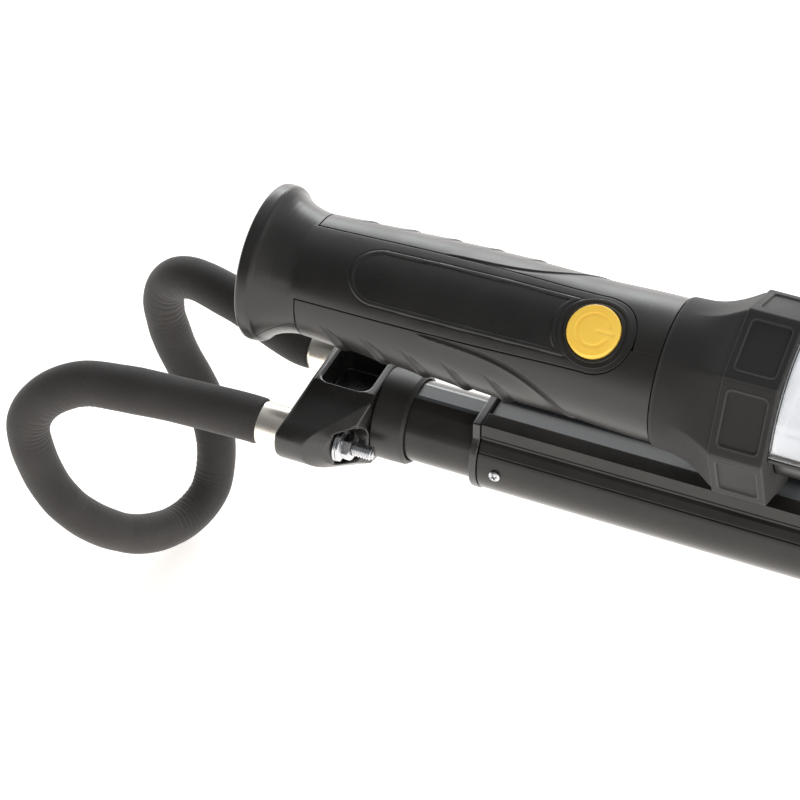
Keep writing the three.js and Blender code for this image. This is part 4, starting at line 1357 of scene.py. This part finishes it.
def build_clip(side):
    """Spring clip: jaws round the head, a web, a saddle and a foot in the rail's slot."""
    node = f"lamp_clip_{side}"
    inner = HEAD_RADIUS + 0.35
    outer = inner + 2.6
    foot, saddle, web = UNDERCUT_HALF - 0.4, BOX_HALF - 0.6, 5.5
    jaw_end = 270 + 84
    top = LAMP_AXIS_Z - math.sqrt(outer**2 - (web + 2) ** 2)
    half = np.concatenate([
        [(foot, SLOT_FLOOR + FIT), (foot, BOX_TOP - 1.3), (web, BOX_TOP - 1.3)],
        [(web, BOX_TOP + FIT), (saddle, BOX_TOP + FIT), (saddle, BOX_TOP + 2.6)],
        [(web + 2, BOX_TOP + 3.6), (web, BOX_TOP + 5.5), (web + 0.6, top - 0.6)],
        arc(0, LAMP_AXIS_Z, outer, 292, jaw_end - 4, 40),
        arc(0, LAMP_AXIS_Z, inner + 1.2, jaw_end, jaw_end + 1, 2)])
    mouth = arc(0, LAMP_AXIS_Z, inner, jaw_end - 3, 540 - jaw_end + 3, 80)
    outline = rounded(np.roll(np.concatenate([half, mouth, mirror(half)]), 1, 0), 0.35)
    mesh_object(f"{side}_lamp_clip", extrude(outline, low(node)[0], high(node)[0], bevel=0.4),
                SATIN, "clips", [node], 35)


# ------------------------------------------------------------------ the whole


def build_all():
    """Every piece, and a finish for the CAD nodes that stay."""
    build_rail()
    build_end_cap("left", -1)
    build_end_cap("right", 1)
    for side in ("left", "right"):
        build_cap_screw(side, "front")
        build_cap_screw(side, "rear")
    bracket = surface_net(bracket_distance, (BRACKET_LEFT, -32, -16.4),
                          (BRACKET_RIGHT, 32, BRACKET_TOP), fine_or_quick(0.36))
    for seed, side in ((7, "left"), (8, "right")):
        end = End(side)
        build_telescopic_end(end, bracket)
        build_hook(end, seed)
    build_flange()
    build_panel()
    build_grips()
    build_bezel()
    build_button()
    build_handle_end()
    build_near_bumper()
    build_end_bumper()
    build_head()
    build_leds()
    for side in ("left", "right"):
        build_clip(side)
        finish_cad(f"{side}_guide_plug", SATIN)
        finish_cad(f"{side}_hook_core", STEEL)
    for node, material in (("battery_cell_outer", CELL), ("battery_cell_inner", CELL),
                           ("control_board", CIRCUIT), ("power_switch", SATIN)):
        finish_cad(node, material)


# ------------------------------------------------------------------ stage, light and camera

ROOM_LIGHT = 0.9                 # brightness of the room's walls
BACK_BOX = 1.2                   # extra brightness low behind the object
FLOOR_BOUNCE = 1.1               # what the floor adds to the light on the object
FLOOR_GLOW = 0.6                 # and what it adds to its own look
BACK_POWER, FRONT_POWER, FILL_POWER = 9.0, 3.5, 12.5
CAMERA_AZIMUTH, CAMERA_ELEVATION = math.radians(23.7), math.radians(40.5)
CAMERA_LEFT = Vector((-math.cos(CAMERA_AZIMUTH), -math.sin(CAMERA_AZIMUTH), 0))
TO_CAMERA = Vector((math.sin(CAMERA_AZIMUTH) * math.cos(CAMERA_ELEVATION),
                    -math.cos(CAMERA_AZIMUTH) * math.cos(CAMERA_ELEVATION),
                    math.sin(CAMERA_ELEVATION)))


def build_stage():
    """White sweep under the light; it bounces a little warmer than it looks."""
    z, half = CAD_BOX[0].z - 0.0015, 6.0
    mesh = bpy.data.meshes.new("floor")
    mesh.from_pydata([(-half, -half, z), (half, -half, z), (half, half, z), (-half, half, z)],
                     [], [(0, 1, 2, 3)])
    paper = Nodes("pale_floor", Roughness=0.8, Emission_Color=(1.0, 0.94, 0.88, 1))
    paper.colour_from(paper.noise(3, 2), (0.92, 0.92, 0.92), (0.94, 0.94, 0.94))
    rays = paper.add("LightPath", "Is Camera Ray")
    paper.feed(paper.remap(rays, 0, 1, FLOOR_BOUNCE, FLOOR_GLOW), "Emission Strength")
    mesh.materials.append(paper.material)
    new_object("floor", mesh)


def area_light(name, location, target, size, power, colour=(1, 1, 1)):
    """A soft light; its place and target are in metres from the middle of the rail's axis."""
    data = bpy.data.lights.new(name, "AREA")
    data.shape = "RECTANGLE"
    data.size, data.size_y = size
    data.energy = power
    data.color = colour
    light = new_object(name, data)
    light.location = Vector(location) + Vector(RAIL_AXIS * MM)
    aim = Vector(target) - Vector(location)
    light.rotation_euler = aim.to_track_quat("-Z", "Y").to_euler()
    return light


def build_world():
    """Bright room with a dark side behind the camera, as round a light table."""
    world = bpy.data.worlds.new("studio")
    world.use_nodes = True
    bpy.context.scene.world = world
    m = Tree(world.node_tree)
    direction = m.add("TexCoord", "Generated")

    def toward(vector, start, full, low_value, high_value):
        """A value that goes smoothly from low to high as a ray nears the vector."""
        dot = m.add("VectorMath", "Value", {0: direction, 1: vector}, operation="DOT_PRODUCT")
        return m.remap(dot, start, full, low_value, high_value, interpolation_type="SMOOTHSTEP")

    room = m.math("MULTIPLY", toward(TO_CAMERA, 0.1, 0.75, 1.0, 0.36),
                  toward(CAMERA_LEFT, 0.2, 0.9, 1.0, 0.2))
    back_box = toward(Vector((-0.25, 0.93, 0.27)).normalized(), 0.85, 0.98, 0.0, BACK_BOX)
    light = m.math("ADD", m.math("MULTIPLY", room, ROOM_LIGHT), back_box)
    background = m.tree.nodes["Background"]
    background.inputs["Color"].default_value = (1, 1, 1, 1)
    m.link(m.math("MAXIMUM", light, m.add("LightPath", "Is Camera Ray")),
           background.inputs["Strength"])


def build_light():
    """A cool softbox behind, a fill by the camera and a warm strip low in front."""
    area_light("back_softbox", (-0.7, 1.4, 0.62), (-0.25, 0, 0), (1.3, 0.6), BACK_POWER,
               (0.97, 0.99, 1.0))
    fill = area_light("camera_fill", TO_CAMERA * 1.6 + Vector((0.5, 0, 0)), (-0.2, 0, 0),
                      (0.9, 0.9), FILL_POWER)
    fill.visible_glossy = False
    area_light("low_front_strip", (0.3, -1.6, 0.28), (-0.2, 0, 0), (2.2, 0.3), FRONT_POWER,
               (1, 0.97, 0.93))


def build_camera():
    """Long lens on the left end, from above its front."""
    target = Vector(((LEFT_END - 32.4) * MM, 0, (RAIL_AXIS[2] + 6.4) * MM))
    data = bpy.data.cameras.new("camera")
    data.sensor_width = 36
    data.lens = 130.5
    camera = new_object("camera", data)
    camera.location = target + TO_CAMERA          # a metre away
    camera.rotation_euler = (-TO_CAMERA).to_track_quat("-Z", "Y").to_euler()
    bpy.context.scene.camera = camera


build_all()
build_stage()
build_world()
build_light()
build_camera()
bpy.context.scene.view_settings.view_transform = "Standard"
